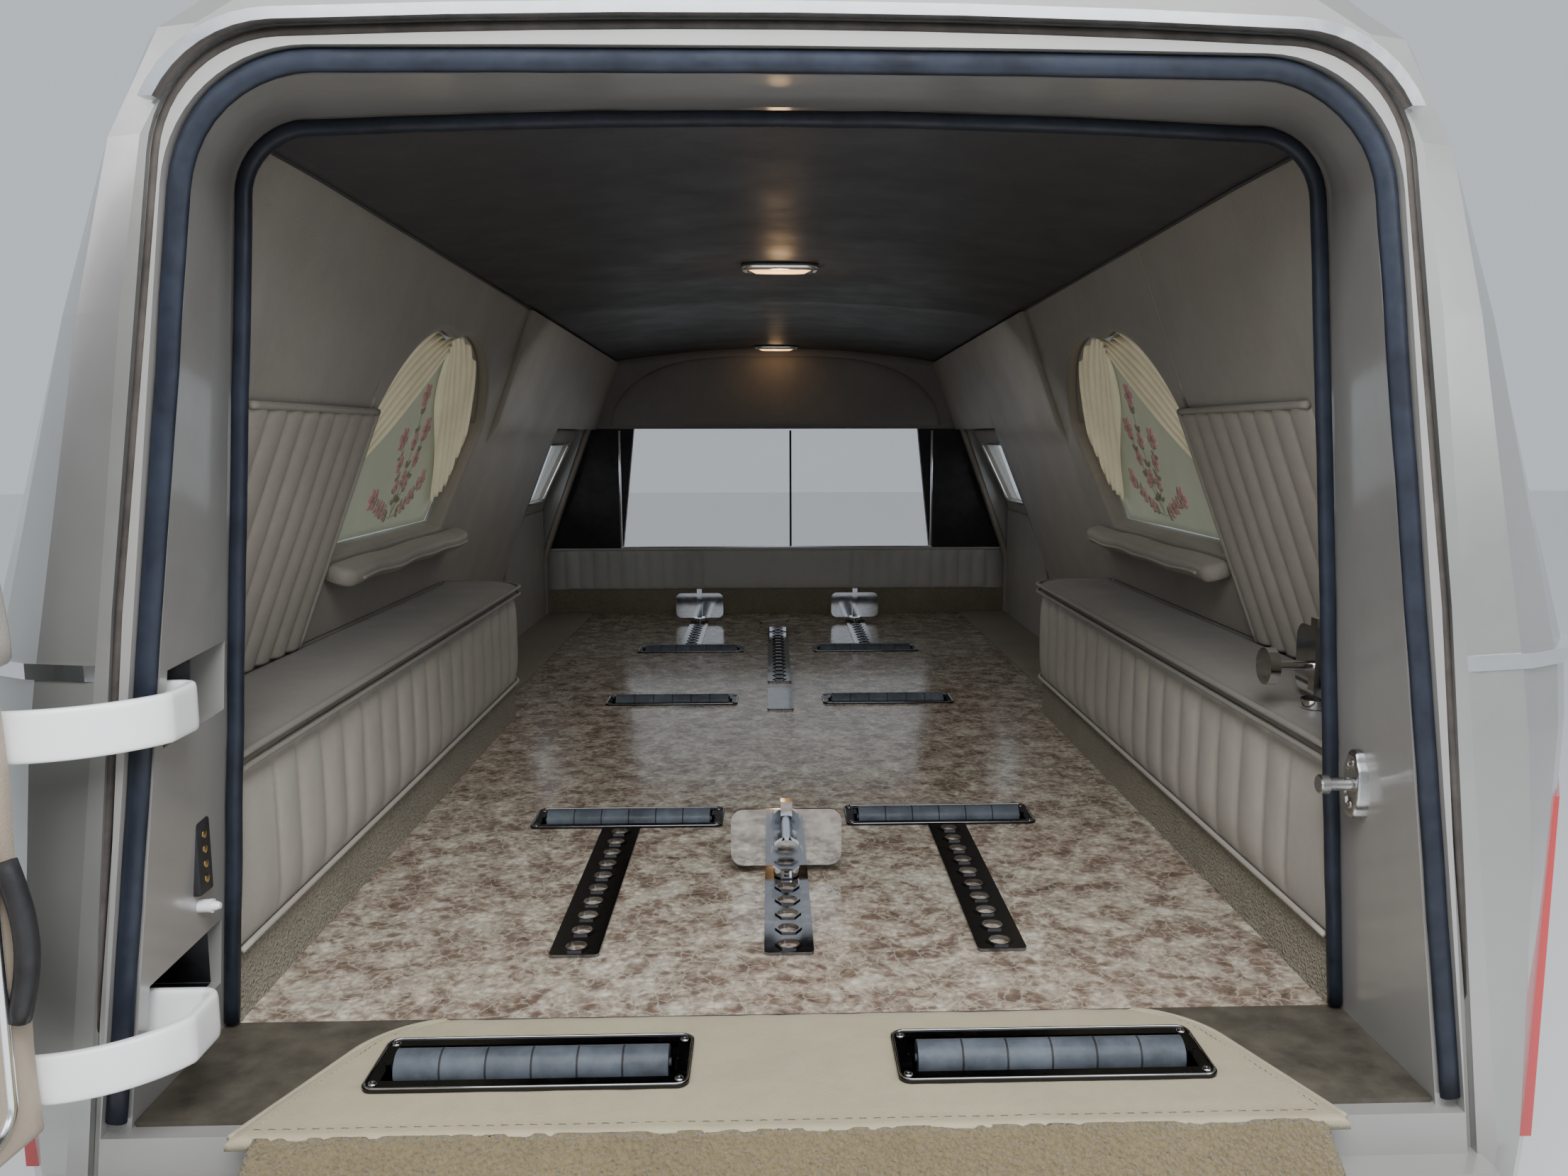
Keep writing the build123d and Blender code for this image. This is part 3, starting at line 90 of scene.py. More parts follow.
def area_light(name, place, target, size, watts, mirrored=True):
    data = bpy.data.lights.new(name, "AREA")
    data.energy, data.size = watts, size
    lamp = link_object(name, data, place)
    lamp.rotation_euler = (Vector(target) - Vector(place)).to_track_quat("-Z", "Y").to_euler()
    if not mirrored:
        lamp.visible_glossy = lamp.visible_camera = False


def point_light(name, place, watts, colour, radius):
    data = bpy.data.lights.new(name, "POINT")
    data.energy, data.color, data.shadow_soft_size = watts, colour, radius
    link_object(name, data, place)


def make_studio():
    world = bpy.data.worlds.new("studio")
    bpy.context.scene.world = world
    world.use_nodes = True
    back = world.node_tree.nodes["Background"]
    back.inputs["Color"].default_value = (0.84, 0.91, 1.0, 1)
    back.inputs["Strength"].default_value = 0.72
    area_light("overhead", (0, -2.2, 3.6), (0, 0.2, 0.8), 3.5, 90)
    area_light("left_side", (-3.4, -2.2, 2.2), (0, 0.3, 0.8), 2.2, 55)
    area_light("right_side", (3.2, -2.6, 2.4), (0, 0.3, 0.8), 2.2, 45)
    area_light("door_sky", (0, -1.25, 1.95), (0, 0.45, 0.46), 0.9, 48, mirrored=False)
    area_light("room_fill", (0, 1.5, DECK + 0.84), (0, 1.9, 0.6), 0.9, 2.6, mirrored=False)
    for i, y in enumerate(LAMP_PLACES):
        point_light(f"dome_glow_{i}", (0, y, DECK + 0.895), 0.16, (1.0, 0.62, 0.3), 0.02)
    bpy.ops.mesh.primitive_plane_add(size=40, location=(0, 1, -0.0005))
    floor = bpy.context.object
    floor.name = "studio_floor"
    floor.data.materials.append(finish("studio_floor", (0.8, 0.8, 0.79), 0.6)[0])


# Materials
class Nodes:
    """A short way to add and join shader nodes."""

    def __init__(self, tree):
        self.tree = tree
        self.coords = tree.nodes.new("ShaderNodeTexCoord").outputs["Object"]

    def add(self, kind, operation=None, **links):
        node = self.tree.nodes.new("ShaderNode" + kind)
        if operation:
            node.operation = operation
        for key, value in links.items():
            numbered = key[0] == "i" and key[1:].isdigit()
            self.fill(node.inputs[int(key[1:]) if numbered else key], value)
        return node

    def fill(self, socket, value):
        """Joins a socket to an output, or gives it a value."""
        if isinstance(value, bpy.types.NodeSocket):
            self.tree.links.new(value, socket)
        else:
            socket.default_value = (*value, 1) if socket.type == "RGBA" else value

    def noise(self, scale, detail=4.0, rough=0.55, distort=0.0, vector=None):
        node = self.add("TexNoise", Vector=vector or self.coords, Scale=scale, Detail=detail,
                        Roughness=rough, Distortion=distort)
        return node.outputs["Fac"]

    def voronoi(self, scale, feature="F1", vector=None, random=1.0):
        node = self.add("TexVoronoi", Vector=vector or self.coords, Scale=scale, Randomness=random)
        node.feature = feature
        return node.outputs["Distance"]

    def wave(self, scale, direction="X"):
        node = self.add("TexWave", Vector=self.coords, Scale=scale)
        node.bands_direction = direction
        return node.outputs["Fac"]

    def stretch(self, scale):
        return self.add("Mapping", Vector=self.coords, Scale=scale).outputs[0]

    def warp(self, amount, scale, detail=3.0):
        tex = self.add("TexNoise", Vector=self.coords, Scale=scale, Detail=detail)
        offset = self.add("VectorMath", "SUBTRACT", i0=tex.outputs["Color"], i1=(0.5, 0.5, 0.5))
        scaled = self.add("VectorMath", "SCALE", i0=offset.outputs[0], Scale=amount)
        return self.add("VectorMath", "ADD", i0=self.coords, i1=scaled.outputs[0]).outputs[0]

    def ramp(self, value, *stops):
        node = self.add("ValToRGB", Fac=value)
        band = node.color_ramp
        while len(band.elements) < len(stops):
            band.elements.new(0.5)
        for element, (place, colour) in zip(band.elements, stops):
            element.position = place
            element.color = (*colour, 1) if isinstance(colour, tuple) else (colour, colour, colour, 1)
        return node.outputs["Color"]

    def mix(self, share, a, b, kind="MIX"):
        node = self.tree.nodes.new("ShaderNodeMix")
        node.data_type, node.blend_type = "RGBA", kind
        for k, value in ((0, share), (6, a), (7, b)):
            self.fill(node.inputs[k], value)
        return node.outputs[2]

    def maths(self, kind, a, b=0.0):
        return self.add("Math", kind, i0=a, i1=b).outputs[0]

    def bump(self, height, strength, distance, normal=None):
        node = self.add("Bump", Height=height, Strength=strength, Distance=distance)
        if normal is not None:
            self.tree.links.new(normal, node.inputs["Normal"])
        return node.outputs["Normal"]


def finish(name, colour, rough, metal=0.0, **sockets):
    m = bpy.data.materials.new(name)
    m.use_nodes = True
    shader, n = m.node_tree.nodes["Principled BSDF"], Nodes(m.node_tree)
    for key, value in {"Base_Color": colour, "Roughness": rough, "Metallic": metal, **sockets}.items():
        n.fill(shader.inputs[key.replace("_", " ")], value)
    return m, shader, n


def join(n, output, shader, socket):
    n.tree.links.new(output, shader.inputs[socket])


def lacquer(name, colour):
    return finish(name, colour, 0.1, Coat_Weight=1.0)[0]


def mottle(n, value, low, high, b, socket="Base Color"):
    """Joins a socket to a ramp over a noise value; low and high are (place, colour or number)."""
    join(n, n.ramp(value, low, high), b, socket)


def shade(colour, factor):
    return tuple(min(1.0, c * factor) for c in colour)


def paint(name, colour, metal, rough):
    m, b, n = finish(name, colour, rough, metal, Coat_Weight=0.6, Coat_Roughness=0.12)
    dust = n.noise(3.2, 5, 0.6)
    flake = n.voronoi(900)
    mottle(n, dust, (0.3, shade(colour, 0.93)), (0.7, shade(colour, 1.05)), b)
    mottle(n, n.noise(14, 4), (0.3, rough * 0.85), (0.75, rough * 1.25), b, "Roughness")
    join(n, n.bump(flake, 0.04, 0.0004, n.bump(n.noise(26, 3), 0.05, 0.002)), b, "Normal")
    return m


def vinyl(name, colour, rough=0.46, grain=1.0, gloss=0.45):
    m, b, n = finish(name, colour, rough, Specular_IOR_Level=gloss, Sheen_Weight=gloss * 0.27,
                     Sheen_Roughness=0.6)
    broad = n.ramp(n.noise(5.5, 5, 0.6), (0.28, shade(colour, 0.84)), (0.72, shade(colour, 1.12)))
    fine = n.ramp(n.noise(60, 3), (0.3, shade(colour, 0.9)), (0.7, shade(colour, 1.08)))
    join(n, n.mix(0.35, broad, fine), b, "Base Color")
    cells = n.voronoi(620, vector=n.warp(0.004, 90), random=0.9)
    mottle(n, n.noise(9, 4), (0.3, rough - 0.06), (0.7, rough + 0.1), b, "Roughness")
    soft = n.bump(n.noise(16, 3), 0.1 * grain, 0.006)
    join(n, n.bump(cells, 0.28 * grain, 0.0011, soft), b, "Normal")
    return m


def carpet(name, colour):
    m, b, n = finish(name, colour, 0.95, Sheen_Weight=0.2, Sheen_Roughness=0.5, Specular_IOR_Level=0.1)
    tuft = n.voronoi(260, vector=n.warp(0.006, 60))
    tone = n.mix(0.5, n.ramp(n.noise(7, 6, 0.65), (0.25, shade(colour, 0.72)), (0.75, shade(colour, 1.25))),
                 n.ramp(n.noise(230, 3), (0.25, shade(colour, 0.6)), (0.75, shade(colour, 1.4))))
    join(n, tone, b, "Base Color")
    join(n, n.bump(tuft, 0.9, 0.004, n.bump(n.noise(150, 4, 0.7), 0.8, 0.004)), b, "Normal")
    return m


def cloth(name, colour, glow, crease_shade_reach=0.0):
    """Woven cloth; its emission is painted light standing in for daylight let through, and the last argument
    is how far painted shade reaches into its valleys.
    """
    m, b, n = finish(name, colour, 0.8, Sheen_Weight=0.3, Specular_IOR_Level=0.2, Emission_Strength=glow,
                     Emission_Color=colour)
    tone = n.ramp(n.noise(11, 4), (0.3, shade(colour, 0.92)), (0.7, shade(colour, 1.06)))
    if crease_shade_reach:
        # Painted shade: an occlusion node darkens the cloth's valleys, in its colour and in its emission.
        depth = n.add("AmbientOcclusion", Distance=crease_shade_reach)
        painted_crease_shade = n.ramp(depth.outputs["AO"], (0.25, (0.34, 0.3, 0.22)), (0.85, (1.0, 1.0, 1.0)))
        tone = n.mix(1.0, tone, painted_crease_shade, "MULTIPLY")
        join(n, tone, b, "Emission Color")
    join(n, tone, b, "Base Color")
    weave = n.maths("ADD", n.wave(1400 / 6.0, "Y"), n.wave(1400 / 6.0, "Z"))
    join(n, n.bump(weave, 0.15, 0.0004, n.bump(n.noise(40, 3), 0.12, 0.002)), b, "Normal")
    return m


def rubber(name, colour, rough=0.5):
    m, b, n = finish(name, colour, rough, Specular_IOR_Level=0.32)
    mottle(n, n.noise(22, 5, 0.65), (0.3, shade(colour, 0.7)), (0.75, shade(colour, 1.7)), b)
    mottle(n, n.noise(40, 4), (0.3, rough - 0.12), (0.7, rough + 0.15), b, "Roughness")
    join(n, n.bump(n.noise(180, 3), 0.1, 0.001), b, "Normal")
    return m


def metal(name, colour, rough, wear=0.4, grime=0.0):
    m, b, n = finish(name, colour, rough, 1.0)
    streak = n.noise(30, 5, 0.7, vector=n.stretch((1, 7, 7)))
    mottle(n, streak, (0.25, shade(colour, 1 - 0.5 * grime)), (0.7, shade(colour, 1.05)), b)
    mottle(n, n.noise(55, 5, 0.7), (0.35, rough), (0.75, min(1, rough + 0.3 * wear)), b, "Roughness")
    join(n, n.bump(n.noise(300, 3), 0.03, 0.0006), b, "Normal")
    return m


def laminate(name):
    m, b, n = finish(name, (0.3, 0.25, 0.21), 0.14, Coat_Weight=0.06, Coat_Roughness=0.05,
                     Specular_IOR_Level=0.3)
    flow = n.warp(0.06, 14, 6.0)
    patch = n.ramp(n.noise(22, 9, 0.72, 0.4, flow), (0.3, (0.085, 0.058, 0.048)),
                   (0.44, (0.24, 0.185, 0.15)), (0.55, (0.43, 0.385, 0.325)), (0.7, (0.66, 0.64, 0.56)))
    chips = n.ramp(n.voronoi(95, vector=n.warp(0.012, 70, 5.0)), (0.12, 1.22), (0.62, 0.66))
    stone = n.mix(0.85, patch, chips, "MULTIPLY")
    island = n.ramp(n.voronoi(31, vector=n.warp(0.03, 40, 5.0), random=1.0), (0.14, 1.0), (0.3, 0.0))
    stone = n.mix(n.maths("MULTIPLY", island, 0.8), stone, (0.125, 0.08, 0.066))
    vein = n.ramp(n.voronoi(38, "DISTANCE_TO_EDGE", n.warp(0.05, 30, 6.0)), (0.0, 1.0), (0.06, 0.0))
    stone = n.mix(n.maths("MULTIPLY", vein, 0.45), stone, (0.58, 0.56, 0.48))
    tint = n.ramp(n.noise(3.5, 4), (0.35, (0.92, 0.86, 0.8)), (0.65, (1.0, 1.02, 0.98)))
    join(n, n.mix(0.8, stone, tint, "MULTIPLY"), b, "Base Color")
    mottle(n, n.noise(35, 5, 0.7), (0.3, 0.1), (0.75, 0.24), b, "Roughness")
    join(n, n.bump(n.noise(60, 3), 0.02, 0.001), b, "Normal")
    return m


def glass(name, alpha):
    m, b, n = finish(name, (0.8, 0.86, 0.86), 0.02, Alpha=alpha, Specular_IOR_Level=0.6, IOR=1.45)
    mottle(n, n.noise(9, 5, 0.7), (0.4, 0.02), (0.8, 0.07), b, "Roughness")
    return m


def lens(name):
    m, b, n = finish(name, (0.95, 0.8, 0.55), 0.35, Emission_Strength=2.6, Emission_Color=(1.0, 0.58, 0.22))
    join(n, n.bump(n.wave(90.0), 0.4, 0.002), b, "Normal")
    mottle(n, n.noise(30, 3), (0.3, (0.98, 0.78, 0.5)), (0.7, (0.9, 0.72, 0.48)), b)
    return m


make_camera()
make_studio()
# Each look: how it is made, and its values; most are named after the CAD slot that they finish
LOOKS = {
    "champagne_paint": (paint, (0.37, 0.37, 0.355), 0.72, 0.33),
    "jamb_paint": (paint, (0.31, 0.305, 0.295), 0.32, 0.4),
    "arm_silver": (paint, (0.82, 0.83, 0.84), 0.15, 0.32),
    "bright_bumper": (paint, (0.42, 0.42, 0.4), 0.5, 0.32),
    "frame_black": (rubber, (0.02, 0.02, 0.022), 0.45),
    "underbody": (rubber, (0.1, 0.1, 0.1), 0.8),
    "bright_trim": (metal, (0.85, 0.86, 0.88), 0.16, 0.3),
    "lamp_red": (lacquer, (0.42, 0.012, 0.018)),
    "deck_laminate": (laminate,),
    "sill_black": (rubber, (0.058, 0.052, 0.041), 0.38),
    "roller_rubber": (rubber, (0.06, 0.07, 0.084), 0.34),
    "track_chrome": (metal, (0.55, 0.55, 0.56), 0.07, 0.4, 0.3),
    "pin_polish": (metal, (0.86, 0.87, 0.89), 0.04, 0.2),
    "track_plate": (metal, (0.26, 0.26, 0.265), 0.08, 0.4, 0.3),
    "dark_plate": (metal, (0.05, 0.05, 0.052), 0.16, 0.6),
    "carpet_olive": (carpet, (0.235, 0.208, 0.15)),
    "apron_carpet": (carpet, (0.16, 0.128, 0.072)),
    "lining_vinyl": (vinyl, (0.3, 0.275, 0.238)),
    "pad_vinyl": (vinyl, (0.15, 0.138, 0.12)),
    "headliner_vinyl": (vinyl, (0.036, 0.034, 0.037), 0.46, 0.9, 0.22),
    "header_vinyl": (vinyl, (0.225, 0.208, 0.2), 0.7),
    "front_pad": (vinyl, (0.4, 0.4, 0.375)),
    "apron_vinyl": (vinyl, (0.318, 0.282, 0.19)),
    "door_vinyl": (vinyl, (0.36, 0.295, 0.225), 0.55),
    # curtain_cloth and shade_cloth have emission (their third value): painted light standing in for daylight
    # through the windows; the curtain's last value is the reach of painted shade in its valleys.
    "curtain_cloth": (cloth, (0.8, 0.75, 0.55), 0.17, 0.03),
    "shade_cloth": (cloth, (0.44, 0.48, 0.37), 0.2),
    "clear_glass": (glass, 0.16),
    "frame_dark": (rubber, (0.012, 0.012, 0.014), 0.5),
    "lamp_lens": (lens,),
    "seal_rubber": (rubber, (0.011, 0.014, 0.022), 0.46),
    "gutter_rubber": (rubber, (0.05, 0.044, 0.04), 0.7),
    "fitting_metal": (metal, (0.62, 0.62, 0.62), 0.22, 0.6, 0.3),
    "contact_brass": (metal, (0.75, 0.55, 0.25), 0.2),
    # The sprays' emission (third value) is painted light as well.
    "sprig_leaf": (cloth, (0.34, 0.31, 0.21), 0.06),
    "sprig_petal": (cloth, (0.66, 0.36, 0.36), 0.08),
}
MATS = {key: kind(f"{key}_look", *values) for key, (kind, *values) in LOOKS.items()}

# Each carried-over CAD node takes the look of its slot, apart from these nodes
NODE_LOOKS = {"rear_aperture": "jamb_paint", "roller_housings": "dark_plate", "bier_tracks": "track_plate",
              "bier_pins": "pin_polish", "front_bier_stops": "pin_polish"}
for node_name, part in nodes.items():
    for place in part.material_slots:
        key = place.material.name.split(".")[0] if place.material else ""
        place.material = MATS.get(NODE_LOOKS.get(node_name, key), MATS["underbody"])


# Mesh helpers
class Build:
    """Gathers parts of a piece, each with its own material."""

    def __init__(self):
        self.verts, self.faces, self.marks = [], [], []

    def add(self, shape, mark=0):
        verts, faces = shape
        base = len(self.verts)
        self.verts += [tuple(v) for v in verts]
        self.faces += [tuple(i + base for i in face) for face in faces]
        self.marks += [mark] * len(faces)

    def slab(self, rows, cols, pair, mark=0, **how):
        self.add(slab(*grids(rows, cols, pair), **how), mark)

    def tube(self, path, radius, sides=8, mark=0, **how):
        self.add(sweep(path, circle(radius, sides), **how), mark)

    def make(self, name, slot, node=None, looks=None, body=BODY, flat_angle=None):
        """Makes the piece; node is the CAD node it replaces, and looks stands in for its slot's look."""
        mesh = bpy.data.meshes.new(name)
        mesh.from_pydata(self.verts, [], self.faces)
        for look in looks or [slot]:
            mesh.materials.append(MATS[look])
        mesh.polygons.foreach_set("material_index", self.marks)
        bm = bmesh.new()
        bm.from_mesh(mesh)
        bmesh.ops.recalc_face_normals(bm, faces=bm.faces)
        bm.to_mesh(mesh)
        bm.free()
        mesh.shade_smooth()
        piece = link_object(name, mesh)
        if flat_angle:
            mesh.set_sharp_from_angle(angle=radians(flat_angle))
        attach(piece, body)
        if node:
            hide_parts(node)
        return piece


def clamp(value, low=0.0, high=1.0):
    return max(low, min(high, value))


def blend(a, b, t):
    return a + (b - a) * t


def steps(a, b, count):
    return [a + (b - a) * i / count for i in range(count + 1)]


def around(count, start=0.0):
    """Angles once round, without the last."""
    return [tau * i / count + start for i in range(count)]


def polar(centre, reach, angle):
    return centre[0] + reach * cos(angle), centre[1] + reach * sin(angle)


def at(x, y, h):
    """A point by its height above the deck."""
    return Vector((x, y, DECK + h))


def power(value, exponent):
    return copysign(abs(value) ** exponent, value)


def ripple(amount, x, y, z, scale=1.0):
    return amount * noise.noise(Vector((x, y, z)) * scale)


def edged(span, step, r):
    """Shares of a span, close together in the rounded edges of radius r."""
    count = max(2, round((span - 2 * r) / step))
    near = [0, 0.22 * r, 0.6 * r]
    return [v / span for v in near + steps(r, span - r, count) + [span - v for v in near[::-1]]]


def drop(d, r):
    """How far a rounded edge of radius r falls back at a distance d from the edge."""
    return 0.0 if d >= r else r * (1 - sqrt(max(0.0, 1 - (1 - d / r) ** 2)))


def grids(rows, cols, pair):
    """Two grids of points; pair(row, col) gives a point of the front and one of the back."""
    cells = [[pair(row, col) for col in cols] for row in rows]
    return [[[cell[k] for cell in line] for line in cells] for k in (0, 1)]


def slab(front, back, keep=None, ring=False):
    """A closed slab between two grids of points; keep(i, j) leaves a cell out, ring joins a row's ends."""
    rows, cols = len(front), len(front[0])
    n = rows * cols
    cells = {(i, j) for i in range(rows - 1) for j in range(cols if ring else cols - 1)
             if keep is None or keep(i, j)}
    faces = []
    for i, j in sorted(cells):
        k, low, high = (j + 1) % cols, i * cols, (i + 1) * cols
        a, b, c, d = low + j, low + k, high + k, high + j
        faces += [(a, b, c, d), (d + n, c + n, b + n, a + n)]
        for near, (p, q) in (((i - 1, j), (a, b)), ((i, k), (b, c)), ((i + 1, j), (c, d)),
                             ((i, (j - 1) % cols), (d, a))):
            if near not in cells:
                faces.append((q, p, p + n, q + n))
    return [p for row in front + back for p in row], faces


def skin(rings, closed=False, caps=True):
    """Faces between rings of points, with a cap at each end unless the rings close on themselves."""
    count, wide = len(rings), len(rings[0])
    faces = []
    for i in range(count if closed else count - 1):
        k = (i + 1) % count
        for j in range(wide):
            m = (j + 1) % wide
            faces.append((i * wide + j, i * wide + m, k * wide + m, k * wide + j))
    if caps and not closed:
        faces += [tuple(range(wide))[::-1], tuple((count - 1) * wide + j for j in range(wide))]
    return [p for ring in rings for p in ring], faces


def sweep(path, profile, closed=False, up=(0, 0, 1)):
    """A profile of (across, up) pairs carried along a path."""
    path = [Vector(p) for p in path]
    last = len(path) - 1
    rings = []
    for i, p in enumerate(path):
        before = path[i - 1] if closed or i else path[0]
        after = path[(i + 1) % len(path)] if closed or i < last else path[-1]
        along = (after - before).normalized()
        side = along.cross(Vector(up)).normalized()
        rise = side.cross(along).normalized()
        rings.append([p + side * a + rise * b for a, b in profile])
    return skin(rings, closed)


def circle(radius, sides=10, tall=1.0):
    return [(radius * cos(a), radius * tall * sin(a)) for a in around(sides)]


def box(lo, hi, edge=0.0015):
    """A block with small chamfers on all of its edges."""
    bm = bmesh.new()
    bmesh.ops.create_cube(bm, size=1.0)
    for v in bm.verts:
        v.co = Vector([lo[k] + (v.co[k] + 0.5) * (hi[k] - lo[k]) for k in range(3)])
    if edge:
        bmesh.ops.bevel(bm, geom=bm.edges[:], offset=edge, segments=2, affect="EDGES", profile=0.5)
    bm.verts.ensure_lookup_table()
    verts = [v.co.copy() for v in bm.verts]
    faces = [[v.index for v in f.verts] for f in bm.faces]
    bm.free()
    return verts, faces


def lathe(centre, axis, profile, sides=24):
    """A turned part; profile is (distance along the axis, radius)."""
    axis = Vector(axis).normalized()
    side = axis.orthogonal().normalized()
    other = axis.cross(side)
    return skin([[Vector(centre) + axis * along + (side * cos(a) + other * sin(a)) * radius
                  for a in around(sides)] for along, radius in profile])


def rounded(corners, radius, count):
    """A rounded outline; corners are (x, y) centres, from the first quadrant on."""
    return [polar(corner, radius, radians(a))
            for quarter, corner in enumerate(corners) for a in steps(90 * quarter, 90 * quarter + 90, count)]


# The room's own surfaces; h is the height above the deck
WALL_LOW_HALF, WALL_FOOT_H = (0.614, 0.7929), 0.2
WALL_SLOPE = (0.1131, 0.365)


def wall_half(y, h):
    up = max(h, WALL_FOOT_H) - WALL_FOOT_H
    (rear, front), (rear_slope, front_slope) = WALL_LOW_HALF, WALL_SLOPE
    return blend(rear - rear_slope * up, front - front_slope * up, clamp(y / CREASE_REAR))


def wall(side, y, h, proud=0.0):
    """A point on the side wall, or off it by proud."""
    slope = blend(*WALL_SLOPE, clamp(y / CREASE_REAR)) if h > WALL_FOOT_H else 0.0
    size = hypot(1, slope)
    return Vector((side * (wall_half(y, h) - proud / size), y, DECK + h - proud * slope / size))


def crease(y):
    """Height of the line where the wall meets the ceiling."""
    return CREASE_H if y < CREASE_REAR else CREASE_H - CREASE_FALL * (y - CREASE_REAR) / CREASE_SPAN


def panel(b, side, y0, y1, low, high, bulge=None, r=0.001, step=0.03):
    """A padded panel on the side wall, rounded at its edges."""
    span, tall = y1 - y0, high(y0) - low(y0)

    def pair(v, u):
        y, h = y0 + span * u, blend(low(y0 + span * u), high(y0 + span * u), v)
        d = min(u * span, (1 - u) * span, v * tall, (1 - v) * tall)
        out = (bulge(y, h) if bulge else 0.0) - drop(d, r)
        return wall(side, y, h, out), wall(side, y, h, -LINING_THICK)
    b.slab(edged(tall, step, r), edged(span, step, r), pair)


def arc3(a, via, c, count):
    """Points on the arc from a to c through via, without the last."""
    (ax, ay), (bx, by), (cx, cy) = a, via, c
    d = 2 * (ax * (by - cy) + bx * (cy - ay) + cx * (ay - by))
    ux = ((ax**2 + ay**2) * (by - cy) + (bx**2 + by**2) * (cy - ay) + (cx**2 + cy**2) * (ay - by)) / d
    uy = ((ax**2 + ay**2) * (cx - bx) + (bx**2 + by**2) * (ax - cx) + (cx**2 + cy**2) * (bx - ax)) / d
    angles = [atan2(p[1] - uy, p[0] - ux) for p in (a, via, c)]
    turn = (angles[2] - angles[0]) % tau
    if (angles[1] - angles[0]) % tau > turn:
        turn -= tau
    return [polar((ux, uy), hypot(ax - ux, ay - uy), angles[0] + turn * i / count) for i in range(count)]


# The shaded window's outline as (y, h), and the point inside it that its rays start from
REAR_FOOT, REAR_HIP, FRONT_HIP, FRONT_FOOT = (0.65, 0.43), (0.65, 0.64), (1.35, 0.64), (1.278, 0.43)
TOP = (0.96, 0.787)


def straight(a, b, count):
    return [(blend(a[0], b[0], i / count), blend(a[1], b[1], i / count)) for i in range(count)]


WINDOW = (straight(REAR_FOOT, REAR_HIP, 8) + arc3(REAR_HIP, (0.728, 0.74), TOP, 16)
          + arc3(TOP, (1.24, 0.746), FRONT_HIP, 18) + straight(FRONT_HIP, FRONT_FOOT, 8)
          + straight(FRONT_FOOT, REAR_FOOT, 20))
WINDOW_EYE = (0.98, 0.6)


def hit(polygon, angle, eye=WINDOW_EYE):
    """How far a ray from the eye goes before it meets the outline."""
    dx, dy = cos(angle), sin(angle)
    best = 0.0
    for (x0, y0), (x1, y1) in zip(polygon, polygon[1:] + polygon[:1]):
        ex, ey = x1 - x0, y1 - y0
        det = ex * dy - ey * dx
        if abs(det) < 1e-12:
            continue
        t = (ex * (y0 - eye[1]) - ey * (x0 - eye[0])) / det
        s = (dx * (y0 - eye[1]) - dy * (x0 - eye[0])) / det
        if t > 0 and -1e-9 <= s <= 1 + 1e-9:
            best = max(best, t)
    return best


def rays(count, eye, points):
    """Angles once round an eye, with those of some points among them."""
    return sorted(around(count, -pi) + [atan2(h - eye[1], y - eye[0]) for y, h in points])


def window_ring(b, side):
    """The wall round the window, with a rolled edge."""
    y0, y1, h0 = 0.62, 1.43, 0.292
    rect = [(y0, h0), (y0, crease(y0)), (y1, crease(y1)), (y1, h0)]
    # (reach from the outline, proud) of the front and of the back
    roll = [(0, -0.036, 0.006, -0.036), (0, -0.02, 0.006, -0.026), (0, -0.007, 0.006, -0.018),
            (0.0008, -0.0025, 0.008, -0.016), (0.003, -0.0004, 0.01, -0.016), (0.007, 0.0012, 0.013, -0.016),
            (0.014, 0.0014, 0.02, -0.016), (0.028, 0.0008, 0.032, -0.016), (0.045, 0.0, 0.045, -0.016)]

    def pair(row, a):
        if isinstance(row, tuple):
            points = [(hit(WINDOW, a) + reach, proud) for reach, proud in (row[:2], row[2:])]
        else:
            reach = blend(hit(WINDOW, a) + 0.045, hit(rect, a), row)
            soft = ripple(0.0012, *polar(WINDOW_EYE, reach, a), side, 9) if row < 0.9 else 0.0
            points = [(reach, soft), (reach, -LINING_THICK)]
        return [wall(side, *polar(WINDOW_EYE, reach, a), proud) for reach, proud in points]
    angles = rays(110, WINDOW_EYE, rect + [WINDOW[0], FRONT_FOOT])
    b.slab(roll + [0.35, 0.7, 0.97, 1.0], angles, pair, ring=True)


def make_walls():
    low = lambda y: LINING_FOOT
    sill = lambda y: -0.02
    ledge = lambda y: 0.641
    for side, word in SIDES:
        b = Build()
        waves = lambda y, h: ripple(0.0015, y, h, side, 7)
        shelf = lambda y, h: 0.014 * clamp((h - 0.615) / 0.03) ** 0.5 + waves(y, h)
        panel(b, side, 0.0, 0.62, low, crease, waves)
        window_ring(b, side)
        panel(b, side, 0.622, 1.43, low, lambda y: 0.2925)
        panel(b, side, 1.43, 2.18, sill, crease, shelf, step=0.024)
        panel(b, side, 2.18, 2.895, ledge, crease, shelf, step=0.024)
        panel(b, side, 2.852, 2.895, sill, ledge, r=0.006)
        b.make(f"wall_lining_{word}", "lining_vinyl", "wall_linings")


